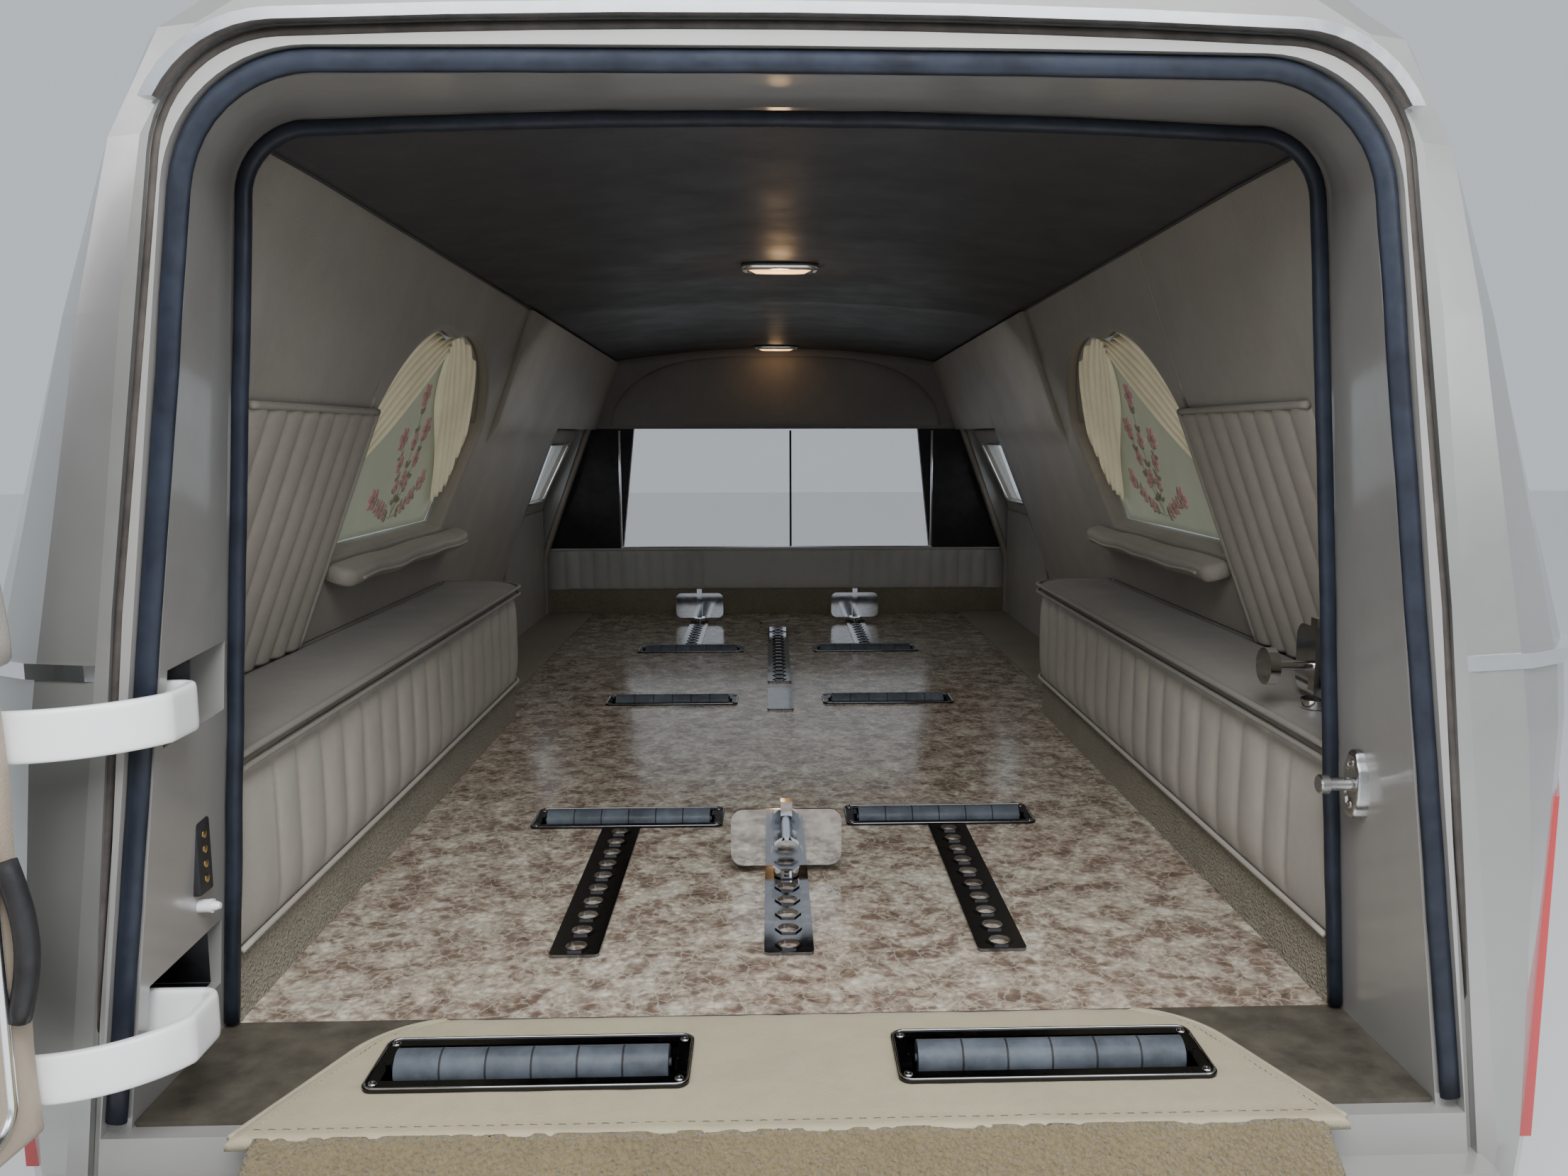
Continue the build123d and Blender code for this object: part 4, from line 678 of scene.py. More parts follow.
def make_pleated_panels():
    low, high, rear = 0.294, 0.655, 0.2
    front = lambda v: blend(0.62, 0.64, v)
    for side, word in SIDES:
        b = Build()

        def pair(v, u):
            y, h = blend(rear, front(v), u), blend(low, high, v)
            swell = abs(sin(pi * 8 * u)) ** 0.62
            sag = ripple(0.0012, y * 18, h * 9, side * 3)
            out = 0.001 + 0.0115 * swell + sag - drop(min(v, 1 - v) * (high - low), 0.008)
            if u in (0.0, 1.0):
                out = 0.002
            return wall(side, y, h, max(out, 0.001)), wall(side, y, h, -0.002)
        b.slab(edged(high - low, 0.04, 0.008), steps(0, 1, 96), pair)
        for path in ([wall(side, y, high + 0.002, 0.006) for y in steps(0.198, 0.642, 24)],
                     [wall(side, blend(0.62, 0.641, t) + 0.002, blend(low, high, t), 0.005)
                      for t in steps(0, 1, 20)]):
            b.tube(path, 0.005, 10, up=(-side, 0, 0.3))
        b.make(f"pleated_panel_{word}", "lining_vinyl", "pleated_panels")


def bench_path(out=0.0, step=0.02):
    """Plan of the bench face, from its rear end forward, round its front corner and to the wall."""
    r = BENCH_CORNER
    x, y = BENCH_FRONT_X + r, BENCH_LENGTH - r
    path = [(BENCH_FRONT_X - out, v) for v in steps(0.0, y - 0.003, round(y / step))]
    path += [(x - (r + out) * cos(a), y + (r + out) * sin(a))
             for a in steps(0, pi / 2, max(16, round(0.14 / step)))]
    return path + [(v, BENCH_LENGTH + out) for v in steps(0.674, 0.784, max(6, round(0.11 / step)))]


def make_benches():
    pitch, first, last = 0.075, 0.1, 1.525
    path = bench_path(0, 0.0062)
    run = [0.0]
    for p, q in zip(path, path[1:]):
        run.append(run[-1] + dist(p, q))
    ways = []
    for k in range(len(path)):
        p, q = path[max(0, k - 1)], path[min(len(path) - 1, k + 1)]
        size = dist(p, q)
        ways.append((-(q[1] - p[1]) / size, (q[0] - p[0]) / size))
    for side, word in SIDES:
        b = Build()

        def pair(v, place):
            (x, y), (nx, ny), s = place
            h = BENCH_LOW + BENCH_TALL * v
            pleat = abs(sin(pi * (s - first) / pitch)) ** 0.5 if first < s < last else 0.75
            lean = ripple(0.0016, s * 22, h * 8, side * 5)
            out = -0.0075 + (0.0105 * pleat + lean) * (1 - abs(2 * v - 1) ** 5)
            return (at(side * (x + nx * out), y + ny * out, h),
                    at(side * (x - nx * 0.014), y - ny * 0.014, h))
        b.slab(edged(BENCH_TALL, 0.018, 0.006), list(zip(path, ways, run)), pair)
        b.tube([(side * (x - 0.0005), y, DECK + BENCH_LOW - 0.0005) for x, y in bench_path(-0.002, 0.03)],
               0.0035)
        b.make(f"bench_side_{word}", "lining_vinyl", "side_benches")


def make_pads():
    top, low = DECK + 0.2905, DECK + 0.2735
    for side, word in SIDES:
        b = Build()

        def pair(share, place):
            x, y = place
            outer = wall_half(max(y, 0.02), 0.28) - 0.004
            across = side * blend(x, max(outer, x + 0.003), share)
            return Vector((across, y, top)), Vector((across, y, low))
        b.slab(steps(0, 1, 12), bench_path(0.005, 0.025), pair)
        pad = b.make(f"bench_pad_{word}", "pad_vinyl", "bench_pads")
        puff(pad, low - 0.001)
        trim = Build()
        for h, radius in ((0.29, 0.0038), (0.2745, 0.0032)):
            trim.tube([(side * x, y, DECK + h) for x, y in bench_path(0.0075, 0.03)], radius)
        trim.make(f"pad_piping_{word}", "pad_vinyl")


def puff(pad, low, voxel=0.006, cap=0.006, pressure=4.0, frames=20):
    """Swells a pad with a cloth simulation, and leaves the result in its mesh."""
    remesh = pad.modifiers.new("remesh", "REMESH")
    remesh.mode, remesh.voxel_size, remesh.use_smooth_shade = "VOXEL", voxel, True
    take_mesh(pad)
    rest = [v.co.copy() for v in pad.data.vertices]
    settings = pad.modifiers.new("cloth", "CLOTH").settings
    settings.use_pressure = True
    settings.uniform_pressure_force = pressure
    settings.effector_weights.gravity = 0
    settings.quality = 4
    for number in range(1, frames + 1):
        bpy.context.scene.frame_set(number)
    take_mesh(pad)
    bpy.context.scene.frame_set(1)
    for v, start in zip(pad.data.vertices, rest):
        move = v.co - start
        if move.length > cap:
            move *= cap / move.length
        v.co = start + move
        v.co.z = max(v.co.z, low)
    pad.data.shade_smooth()


def take_mesh(piece):
    """Puts what the modifiers make of a piece into its mesh."""
    graph = bpy.context.evaluated_depsgraph_get()
    mesh = bpy.data.meshes.new_from_object(piece.evaluated_get(graph), depsgraph=graph)
    piece.modifiers.clear()
    old, piece.data = piece.data, mesh
    bpy.data.meshes.remove(old)


def make_kick_strips():
    b = Build()
    for side in (-1, 1):
        def upright(v, place):
            (x, y), h = place, -0.024 + 0.104 * v
            return (Vector((side * (x - ripple(0.0015, y * 60, h * 60, side)), y, DECK + h)),
                    at(side * (x + 0.01), y, h))
        b.slab(edged(0.104, 0.016, 0.003), bench_path(-0.009, 0.012), upright)

        def flat(t, y):
            x = 0.641 + 0.168 * t
            z = 0.0055 - drop(min(t, 1 - t) * 0.17, 0.004) + ripple(0.0007, x * 70, y * 70, 1)
            return at(side * x, y, z), Vector((side * x, y, DECK - 0.006))
        b.slab(edged(0.17, 0.02, 0.004), steps(1.452, 2.88, 110), flat)
    b.make("kick_carpet", "carpet_olive", "kick_strips")


def make_ledges():
    rear, front, deep, sides = 0.645, 1.39, 0.043, 18
    middle = lambda y: SILL_LEDGE_H + 0.0012 * sin(y * 19)
    b = Build()
    for side in (-1, 1):
        rings = []
        for y in steps(0.652, 1.386, 90):
            end = 1.0
            if y < 0.675:
                end = max(0.25, sqrt(max(0.0, 1 - (1 - (y - rear) / 0.03) ** 2)))
            elif y > 1.37:
                end = sqrt(max(0.02, 1 - (1 - (front - y) / 0.02) ** 2))
            end = min(1.0, end)
            swell = min(1 + 0.06 * exp(-((y - 0.69) / 0.035) ** 2), 1.04)
            out = deep * end * (1 + 0.05 * sin(y * 31 + side)) * swell
            tall = 0.0165 * end * (1 + 0.03 * sin(y * 23 + 1.3))
            rings.append([wall(side, y, middle(y) + tall * power(sin(a), 0.7),
                               out * 0.5 * (1 + power(cos(a), 0.6)) - 0.002) for a in around(sides)])
        b.add(skin(rings))
        b.tube([wall(side, y, middle(y), deep + 0.0022 * sin(y * 31 + side)) for y in steps(0.7, 1.36, 60)],
               0.003)
    b.make("window_ledge_pads", "lining_vinyl", "window_ledges")


def make_shades():
    near, far, rows, cols = -0.0352, -0.0368, 12, 96
    for side, word in SIDES:
        b = Build()

        def pair(i, a):
            y, h = polar(WINDOW_EYE, (hit(WINDOW, a) - 0.002) * (0.02 + 0.98 * i / rows), a)
            wave = ripple(0.0011, y * 9, h * 6, side)
            return wall(side, y, h, near + wave), wall(side, y, h, far + wave)
        front, back = grids(range(rows + 1), around(cols, -pi), pair)
        b.add(slab(front, back, ring=True))
        for hole, way in ((front[0], 1), (back[0], -1)):
            fan = [(j, (j + 1) % cols, cols)[::way] for j in range(cols)]
            b.add((hole + [sum(hole, Vector()) / cols], fan))
        piece = b.make(f"window_shade_{word}", "shade_cloth", "window_shades")
        sheet_area(front) + 0.0001


# Each stem of a spray: its foot, its bend and its tip
STEMS = [((1.02, 0.452), (1.04, 0.56), (1.01, 0.68)), ((1.02, 0.46), (1.07, 0.54), (1.075, 0.62)),
         ((1.02, 0.46), (0.99, 0.54), (0.955, 0.6)), ((1.03, 0.455), (1.09, 0.472), (1.15, 0.52)),
         ((1.01, 0.455), (0.96, 0.468), (0.89, 0.495))]


def make_sprigs():
    """A generic printed-style spray on each shade: stems, leaves and round blooms."""
    rng = random.Random(7)
    lay = -0.0345
    for side, word in SIDES:
        b = Build()

        def flat(ring, lift, mark):
            """A thin leaf or petal lying on the shade."""
            n = len(ring)
            points = [wall(side, y, h, lay + lift + half) for half in (0.0006, -0.0006) for y, h in ring]
            faces = [tuple(range(n)), tuple(range(n, 2 * n))[::-1]]
            b.add((points, faces + [(j, (j + 1) % n, (j + 1) % n + n, j + n) for j in range(n)]), mark)

        def turned(y, h, a, outline):
            return [(y + u * cos(a) - w * sin(a), h + u * sin(a) + w * cos(a))
                    for u, w in outline]
        for foot, bend, tip in STEMS:
            pts = [tuple((1 - t) ** 2 * p + 2 * t * (1 - t) * q + t * t * r
                         for p, q, r in zip(foot, bend, tip)) for t in steps(0, 1, 14)]
            b.add(sweep([wall(side, y, h, lay) for y, h in pts], circle(0.001, 6, 0.4), up=(-side, 0, 0.3)))
            for k in range(2, 13, 2):
                y, h = pts[k]
                for way in (-1, 1):
                    a = atan2(pts[k + 1][1] - h, pts[k + 1][0] - y) + way * rng.uniform(0.6, 1.1)
                    long, wide = rng.uniform(0.014, 0.022), rng.uniform(0.004, 0.006)
                    leaf = [(0, 0), (0.35, 1), (0.7, 0.75), (1, 0), (0.7, -0.75), (0.35, -1)]
                    flat(turned(y, h, a, [(long * u, wide * w) for u, w in leaf]), 0, 0)
            for (y, h), size in ((pts[-1], 0.85), (pts[9], 0.65), (pts[5], 0.5)):
                petal = [(size * (0.015 + 0.012 * cos(c)), size * 0.008 * sin(c)) for c in around(8)]
                for k in range(6):
                    flat(turned(y, h, k * pi / 3 + rng.uniform(-0.15, 0.15), petal), 0.0004, 1)
                flat([polar((y, h), 0.006 * size, k) for k in steps(0, 5.5, 7)], 0.0008, 0)
        b.make(f"shade_sprig_{word}", "shade_cloth", looks=["sprig_leaf", "sprig_petal"])


def swag(side, inner, outer, seed, spread=0.0078, folds=7, rows=34):
    """Gathered cloth between two edges; each edge is a function of t, top to bottom."""
    def pair(t, u):
        (ya, ha), (yb, hb) = inner(t), outer(t)
        y, h = blend(ya, yb, u), blend(ha, hb, u)
        rough = ripple(0.3, u * 5, t * 2, seed)
        fullness = 0.55 + 0.45 * sin(pi * clamp(t + 0.1))
        wave = sin(tau * (folds * u + rough)) * spread * fullness
        reach = hit(WINDOW, atan2(h - WINDOW_EYE[1], y - WINDOW_EYE[0])) - 0.006
        away = hypot(y - WINDOW_EYE[0], h - WINDOW_EYE[1])
        if away > reach:
            y, h = (eye + (value - eye) * reach / away for eye, value in zip(WINDOW_EYE, (y, h)))
        return wall(side, y, h, -0.0245 + wave), wall(side, y, h, -0.0255 + wave)
    return grids(steps(0, 1, rows), steps(0, 1, folds * 6), pair)


def sheet_area(grid):
    total = 0.0
    for near, far in zip(grid, grid[1:]):
        for a, b, c, d in zip(near, near[1:], far[1:], far):
            total += 0.5 * ((b - a).cross(c - a).length + (c - a).cross(d - a).length)
    return total


def make_curtains():
    rear = (lambda t: (blend(1.012, 0.65, t), 0.76 - 0.238 * t - 0.012 * sin(pi * t)),
            lambda t: (blend(1.000, 0.63, t ** 0.8), 0.83 - 0.27 * t ** 2.4))
    fore = (lambda t: (1.016 + 0.215 * t ** 1.4, 0.76 - 0.285 * t),
            lambda t: (1.03 + 0.36 * t ** 0.7, 0.84 - 0.3 * t ** 1.8))
    for side, word in SIDES:
        for part, edges, seed in (("rear", rear, 1.0), ("front", fore, 2.0)):
            front, back = swag(side, *edges, seed)
            b = Build()
            b.add(slab(front, back))
            area = sheet_area(front)
            piece = b.make(f"curtain_{part}_{word}", "curtain_cloth", "window_curtains")


# Outlines of the rear opening: foot, waist and head half widths, head height, crown height, corner radius
TUNNEL_REAR = (0.602, 0.538, 0.477, 0.908, 0.912, 0.105)
TUNNEL_FRONT = (0.6, 0.567, 0.533, 0.918, 0.934, 0.075)
RING_REAR = (0.64, 0.576, 0.506, 0.94, 0.953, 0.115)
WAIST_H = 0.47


def conic(p0, p1, p2, weight, count):
    out = []
    for t in steps(0, 1, count):
        a, c, d = (1 - t) ** 2, 2 * t * (1 - t) * weight, t * t
        out.append((p0 * a + p1 * c + p2 * d) / (a + c + d))
    return out


def head_outline(spec, grow, foot_h):
    """Points (x, h) of an aperture outline, from its right foot over the top to its left foot."""
    foot, waist, head, head_h, crown, r = spec
    a, c = Vector((waist + grow, WAIST_H)), Vector((head + grow, head_h + grow))
    rise = crown + grow - c.y
    big = (c.x ** 2 + rise ** 2) / (2 * rise)
    cy = crown + grow - big
    tangent = Vector((-(c.y - cy), c.x)).normalized()
    line = (c - a).normalized()
    theta = line.angle(tangent)
    cut = (r + grow) * tan(theta / 2)
    start = atan2(c.y - cy, c.x) + cut / big
    on_crown = lambda angle: Vector(polar((0, cy), big, angle))
    right = [Vector((foot + grow, foot_h)).lerp(a, t) for t in steps(0, 1, 16)]
    right += [a.lerp(c - line * cut, t) for t in steps(0, 1, 12)[1:]]
    right += conic(c - line * cut, c, on_crown(start), cos(theta / 2), 10)[1:]
    right += [on_crown(s) for s in steps(start, pi / 2, 10)[1:]]
    return [(p.x, p.y) for p in right] + [(-p.x, p.y) for p in reversed(right[:-1])]


def make_seals():
    b = Build()
    middle = tuple(blend(p, q, 0.96) for p, q in zip(TUNNEL_REAR, TUNNEL_FRONT))
    for spec, grow, y, wide, deep, seed in ((TUNNEL_REAR, 0.01, -0.1912, 0.0094, 0.0056, 1),
                                            (middle, -0.0092, -0.008, 0.0078, 0.0076, 2)):
        path = []
        for x, h in head_outline(spec, grow, 0.006):
            sag = ripple(0.0011, x * 14, h * 14, seed)
            path.append((x + sag, y, DECK + h + 0.7 * sag))
        b.add(sweep(path, [(wide * power(cos(t), 0.85), deep * sin(t)) for t in around(14)], up=(0, 1, 0)))
    b.make("door_seal_rubbers", "seal_rubber", "door_seals")
    gutter = Build()
    section = [(-0.0042, 0.0022), (0.0, 0.0034), (0.0042, 0.0022), (0.0042, -0.003), (-0.0042, -0.003)]
    gutter.add(sweep([(x, -0.1925, DECK + h) for x, h in head_outline(RING_REAR, -0.0045, 0.02)], section,
                     up=(0, -1, 0)))
    gutter.make("gutter_strip", "seal_rubber", looks=["gutter_rubber"])


def make_ceiling():
    b = Build()

    def pair(y, s):
        x = (wall_half(y, crease(y)) + 0.004) * s
        z = DECK + crease(y) + ROOF_RISE * (1 - s * s)
        return Vector((x, y, z + ripple(0.0018, s * 3, y * 2.2, 4) - 0.001)), Vector((x, y, z + 0.013))
    b.slab(steps(0.0, FRONT_WALL, 120), [-1 + k / 24 for k in range(49)], pair)
    for side in (-1, 1):
        b.tube([(side * (wall_half(y, crease(y)) - 0.002), y, DECK + crease(y) - 0.001)
                for y in steps(0.004, 2.88, 80)], 0.0024)
    b.make("ceiling_cloth", "headliner_vinyl", "headliner")


def make_front_wall():
    make_header()
    make_bulkhead()
    strips = Build()
    for x in (-0.5385, 0.5385):
        strips.add(box((x - 0.0045, 2.8885, 0.692), (x + 0.0045, 2.8965, 1.094)))
    strips.add(box((-0.543, 2.8885, 0.688), (0.543, 2.8965, 0.6945)))
    strips.add(box((0.045, 2.89, 0.694), (0.052, 2.8965, 1.094), 0.0012), 1)
    strips.make("partition_strips", "bright_trim", looks=["bright_trim", "frame_dark"])


def make_header():
    b = Build()
    across = steps(-1, 1, 64)

    def board(v, s):
        h = blend(0.6395, crease(2.9) + 0.0015 + 0.047 * (1 - s * s), v)
        x = s * (wall_half(2.9, min(h, crease(2.9))) - 0.001)
        return at(x, FRONT_WALL, h), at(x, 2.924, h)
    b.slab(steps(0, 1, 10), across, board)

    def pad(v, s):
        h = blend(0.648, 0.648 + 0.238 * (1 - abs(s) ** 3.4) ** (1 / 1.8), v)
        edge = min(1, v / 0.08, (1 - v) / 0.1, (1 - abs(s)) / 0.03)
        crown = 0.0085 * max(0.0, edge) ** 0.5 + ripple(0.0012, s * 6, h * 9, 2)
        return at(s * 0.57, 2.8935 - crown, h), at(s * 0.57, 2.896, h)
    b.slab(edged(1.0, 0.1, 0.06), across, pad)
    b.make("header_pad", "headliner_vinyl", "header_panel", looks=["header_vinyl"])


def make_bulkhead():
    b = Build()
    first, last, pitch, low, high = 0.26, 0.735, 0.0475, 0.084, 0.2245

    def pair(h, x):
        t = abs(x)
        swell = 1.0 if t < last else 0.0
        if first < t < last:
            swell = abs(sin(pi * (t - first) / pitch)) ** 0.6
        if abs(t - first) < 0.004:
            swell = 0.0
        edge = min(1.0, (h - low) / 0.012, (high - h) / 0.012)
        out = 0.002 + 0.008 * swell * max(0.0, edge) ** 0.5
        return at(x, 2.894 - out, h), at(x, 2.923, h)
    b.slab([low, 0.088, 0.094, 0.11, 0.14, 0.17, 0.2, 0.214, 0.22, high],
           [-0.8, -0.745] + steps(-last, last, 294) + [0.745, 0.8], pair)
    b.tube([(x, 2.888, DECK + high) for x in steps(-0.795, 0.795, 60)], 0.0042)
    b.add(box((-0.8, 2.889, DECK - 0.024), (0.8, 2.9235, DECK + 0.0835), 0.003), 1)
    b.make("bulkhead_pad", "lining_vinyl", "bulkhead", looks=["front_pad", "carpet_olive"])


def make_dome_lamps():
    b = Build()
    turn = around(40)
    for y in LAMP_PLACES:
        roof = DECK + crease(y) + ROOF_RISE
        oval = lambda wide, long, bend, z: [(power(cos(t), bend) * wide, y + power(sin(t), bend) * long, z)
                                            for t in turn]
        steps_in = ((0.0, 0.0), (0.0, -0.01), (-0.004, -0.014), (-0.01, -0.014), (-0.012, -0.009))
        rings = [oval(0.074 + grow, 0.033 + grow, 0.45, roof + fall) for grow, fall in steps_in]
        points, faces = skin(rings, caps=False)
        b.add((points, faces + [tuple(range(40))]))
        points, faces = skin([rings[-1], oval(0.06 * 0.8, 0.02, 0.5, roof - 0.0165)], caps=False)
        b.add((points, faces + [tuple(range(40, 80))]), 1)
    b.make("dome_lamp_units", "lamp_lens", "dome_lamps", looks=["bright_trim", "lamp_lens"])


# The rear door's lining is made square to the body, then swung with the door to where it stands at rest
HINGE = Vector((HINGE_X, HINGE_Y, 0))
SWING = Matrix.Translation(HINGE) @ Matrix.Rotation(radians(-94), 4, "Z") @ Matrix.Translation(-HINGE)


def make_hinge_arms():
    b = Build()
    profile = [(0.0049 * power(cos(t), 0.5), 0.0218 * power(sin(t), 0.28))
               for t in around(28, pi / 28)]
    reach, bend, jamb_x, jamb_y = 0.124, 0.014, -0.536, -0.1452
    path = [(x, jamb_y) for x in steps(-0.65, jamb_x - bend, 8)]
    path += [(jamb_x - bend + bend * sin(a), jamb_y - bend + bend * cos(a))
             for a in steps(0, pi / 2, 8)[1:]]
    path += [(jamb_x, y) for y in steps(-0.164, -0.196, 4)]
    path += [polar((HINGE_X, HINGE_Y), reach, a) for a in steps(radians(-28.5), radians(-100), 26)]
    for h in ARM_HEIGHTS:
        b.add(sweep([(x, y, DECK + h) for x, y in path], profile))
        b.add(lathe((HINGE_X, HINGE_Y, DECK + h - 0.0219), (0, 0, 1),
                    [(0, 0.0145), (0.0015, 0.0165), (0.0423, 0.0165), (0.0438, 0.0145)], 32))
    b.make("hinge_arms", "arm_silver", "rear_door_hinges", body="rear_door", flat_angle=50)


# The loading apron: its rear and front edges, the holes over the sill rollers, and its end curves' start
APRON_REAR, APRON_FRONT, APRON_CURVE = -0.232, -0.022, -0.082
HOLES = [(-0.392, -0.112), (0.112, 0.392)]
HOLE_REAR, HOLE_FRONT = -0.152, -0.084
APRON_END = 0.478


def apron_half(y):
    straight_half = blend(0.415, 0.5, clamp((APRON_FRONT - y) / 0.21))
    t = clamp((y - APRON_CURVE) / 0.06)
    return straight_half - 0.06 * (1 - sqrt(max(0.0, 1 - t * t)))


def apron_rows():
    """Rows of X places across the apron, each with its Y; they close up where the ends curve in."""
    ys = [-0.2318, -0.2312, -0.229, -0.224, -0.218, -0.208, -0.196, -0.182, -0.168, -0.158, -0.1535,
          *steps(HOLE_REAR, HOLE_FRONT, 4), -0.0825, -0.078, -0.07, -0.06, -0.05, -0.042, -0.035, -0.029,
          -0.0245, -0.0225]
    right = [0.112, 0.1135, *steps(0.125, 0.38, 16), 0.3905, 0.392]
    base = sorted({*(-x for x in right), *steps(-0.105, 0.105, 14), *right})
    outer = [0.15, 0.4, 0.7, 0.88, 0.96, 1.0]
    rows = []
    for y in ys:
        half = apron_half(y) - 0.0015
        squeeze = min(1.0, (half - 0.012) / 0.392) if y > APRON_CURVE else 1.0
        end = 0.392 * squeeze
        beyond = [end + (half - end) * k for k in outer]
        rows.append((y, [-x for x in beyond[::-1]] + [x * squeeze for x in base] + beyond))
    return rows


def make_apron():
    b = Build()
    rows = apron_rows()

    def pair(row, j):
        y, half, x = row[0], row[1][-1], row[1][j]
        d = min(half - abs(x), y - APRON_REAR, APRON_FRONT - y)
        for x0, x1 in HOLES:
            dx, dy = max(x0 - x, x - x1, 0), max(HOLE_REAR - y, y - HOLE_FRONT, 0)
            d = min(d, hypot(dx, dy)) if (dx or dy) else 0.0
        pucker = ripple(0.0012, x * 22, y * 30, 3) + ripple(0.0006, x * 60, y * 60, 5)
        seam = 0.0012 * exp(-((min(half - abs(x), y - APRON_REAR) - 0.014) / 0.0022) ** 2)
        top = DECK + 0.0128 + pucker - seam - drop(d, 0.006)
        return Vector((x, y, top)), at(x, y, 0.0008)

    def keep(i, j):
        y, xs = rows[i]
        x = 0.5 * (xs[j] + xs[j + 1])
        return not (HOLE_REAR - 0.0001 < y < HOLE_FRONT - 0.0001 and any(x0 < x < x1 for x0, x1 in HOLES))
    b.slab(rows, range(len(rows[0][1])), pair, keep=keep)
    for side in (-1, 1):
        b.tube([(side * (apron_half(y) - 0.002), y, DECK + 0.0095) for y in steps(-0.226, -0.0226, 40)],
               0.0035)

    def stitch(x0, y0, x1, y1, z):
        b.tube([(x0, y0, z), ((x0 + x1) / 2, (y0 + y1) / 2, z + 0.0009), (x1, y1, z)], 0.0005, 5)
    hem = steps(-APRON_END, APRON_END, 150)
    for x0, x1 in zip(hem[0:150:2], hem[1::2]):
        stitch(x0, -0.218, x1, -0.218, DECK + 0.0128)
    for side in (-1, 1):
        for y in steps(-0.212, -0.05, 26)[:-1]:
            x0, x1 = (side * (apron_half(v) - 0.0145) for v in (y, y + 0.004))
            stitch(x0, y, x1, y + 0.004, DECK + 0.0126)
    b.make("apron_cover", "apron_vinyl", "loading_apron")
    flap = Build()
    fall = [(blend(-0.2315, -0.345, t), blend(0.4725, 0.3935, t)) for t in steps(0, 1, 16)]
    fall += [(-0.3515, 0.388), (-0.356, 0.38), (-0.358, 0.37)]
    fall += [(-0.3585, z) for z in steps(0.36, 0.192, 20)]

    def carpet_pair(place, x):
        y, z = place
        rough = ripple(0.0014, x * 90, y * 90, z * 90) - abs(ripple(0.001, x * 9, z * 9, 1))
        edge = drop(APRON_END - abs(x), 0.005)
        return (Vector((x, y + 0.0015 + edge * 0.6 - rough * 0.7, z - edge * 0.6 + rough - 0.001)),
                Vector((x, y + 0.0085, z - 0.0065)))
    flap.slab(fall, steps(-APRON_END, APRON_END, 190), carpet_pair)
    flap.make("apron_flap", "apron_vinyl", "apron_carpet", looks=["apron_carpet"])


# Each row of rollers: the near edge of its housings, then its axle's Y and Z
ROWS = {"sill": (-0.166, -0.118, 0.473), "rear": (0.612, 0.66, 0.459), "middle": (1.467, 1.515, 0.459),
        "front": (2.13, 2.178, 0.459)}
UP = (0, 0, 1)
QUARTERS = ((1, 1), (-1, 1), (-1, -1), (1, -1))


def make_hardware():
    """Bright rims and screws of the roller housings."""
    b = Build()
    screw = [(0, 0.0048), (0.0012, 0.0046), (0.0024, 0.0034), (0.0026, 0.0012), (0.0018, 0.001)]
    for row, (near, *_) in ROWS.items():
        top = DECK + (0.0172 if row == "sill" else 0.0032)
        for side in (-1, 1):
            x, y = side * ROLLER_X, near + 0.048
            rim = rounded([(x + 0.1395 * qx, y + 0.0345 * qy) for qx, qy in QUARTERS], 0.0115, 6)
            b.tube([(*p, top) for p in rim], 0.0014, closed=True)
            for qx, qy in QUARTERS:
                b.add(lathe((x + qx * 0.1435, y + qy * 0.0365, top - 0.001), UP, screw, 16))
    b.make("housing_rims", "track_chrome")


# The side doors' inner face: upright below the ledge, leaning above it
DOOR_HALF, DOOR_TOP_HALF, DOOR_BEND_H = 0.796, 0.668, 0.38


def door_half(h):
    return DOOR_HALF if h <= DOOR_BEND_H else blend(DOOR_HALF, DOOR_TOP_HALF, (h - DOOR_BEND_H) / 0.26)


def side_face(side, y, h, proud=0.0):
    lean, rise = (0.897, 0.442) if h > DOOR_BEND_H else (1, 0)
    return Vector((side * (door_half(h) - proud * lean), y, DECK + h - proud * rise))


def make_side_door_trims():
    window = [(2.3, 0.4), (2.78, 0.4), (2.78, 0.59), (2.4, 0.59)]
    eye, back_out, end, low, high = (2.58, 0.495), -0.0155, 2.843, -0.322, 0.3645
    rear = lambda h: 2.188 + 0.55 * (0.945 - door_half(h))
    outer = [(rear(0.365), 0.365), (end, 0.365), (end, 0.632), (rear(0.632), 0.632)]
    for side, word in SIDES:
        b = Build()

        def frame_pair(row, a):
            place = polar(eye, blend(hit(window, a, eye), hit(outer, a, eye), row[0]), a)
            return side_face(side, *place, row[1]), side_face(side, *place, back_out)
        b.slab(((0.02, -0.014), (0.02, -0.003), (0.08, 0.0), (0.3, 0.0), (0.85, 0.0), (1.0, -0.003)),
               rays(80, eye, outer + window), frame_pair, ring=True)

        def board(h, t):
            place = blend(rear(h), end, t), h
            out = -drop(min(h - low, high - h), 0.006) - drop(min(t, 1 - t) * 0.57, 0.006)
            return side_face(side, *place, out), side_face(side, *place, back_out)
        b.slab([low, -0.318, -0.3, -0.2, -0.1, 0.0, 0.1, 0.2, 0.3, 0.355, 0.362, high],
               edged(0.57, 0.04, 0.006), board)
        rim = [side_face(side, blend(y0, y1, t), blend(h0, h1, t), 0.001)
               for (y0, h0), (y1, h1) in zip(window, window[1:] + window[:1])
               for t in (0.04, 0.25, 0.5, 0.75, 0.96)]
        b.tube(rim, 0.0045, mark=1, closed=True, up=(-side, 0, 0.4))
        b.make(f"{word}_door_lining", "lining_vinyl", f"{word}_side_door_trim",
               looks=["lining_vinyl", "bright_trim"], body=f"{word}_side_door")


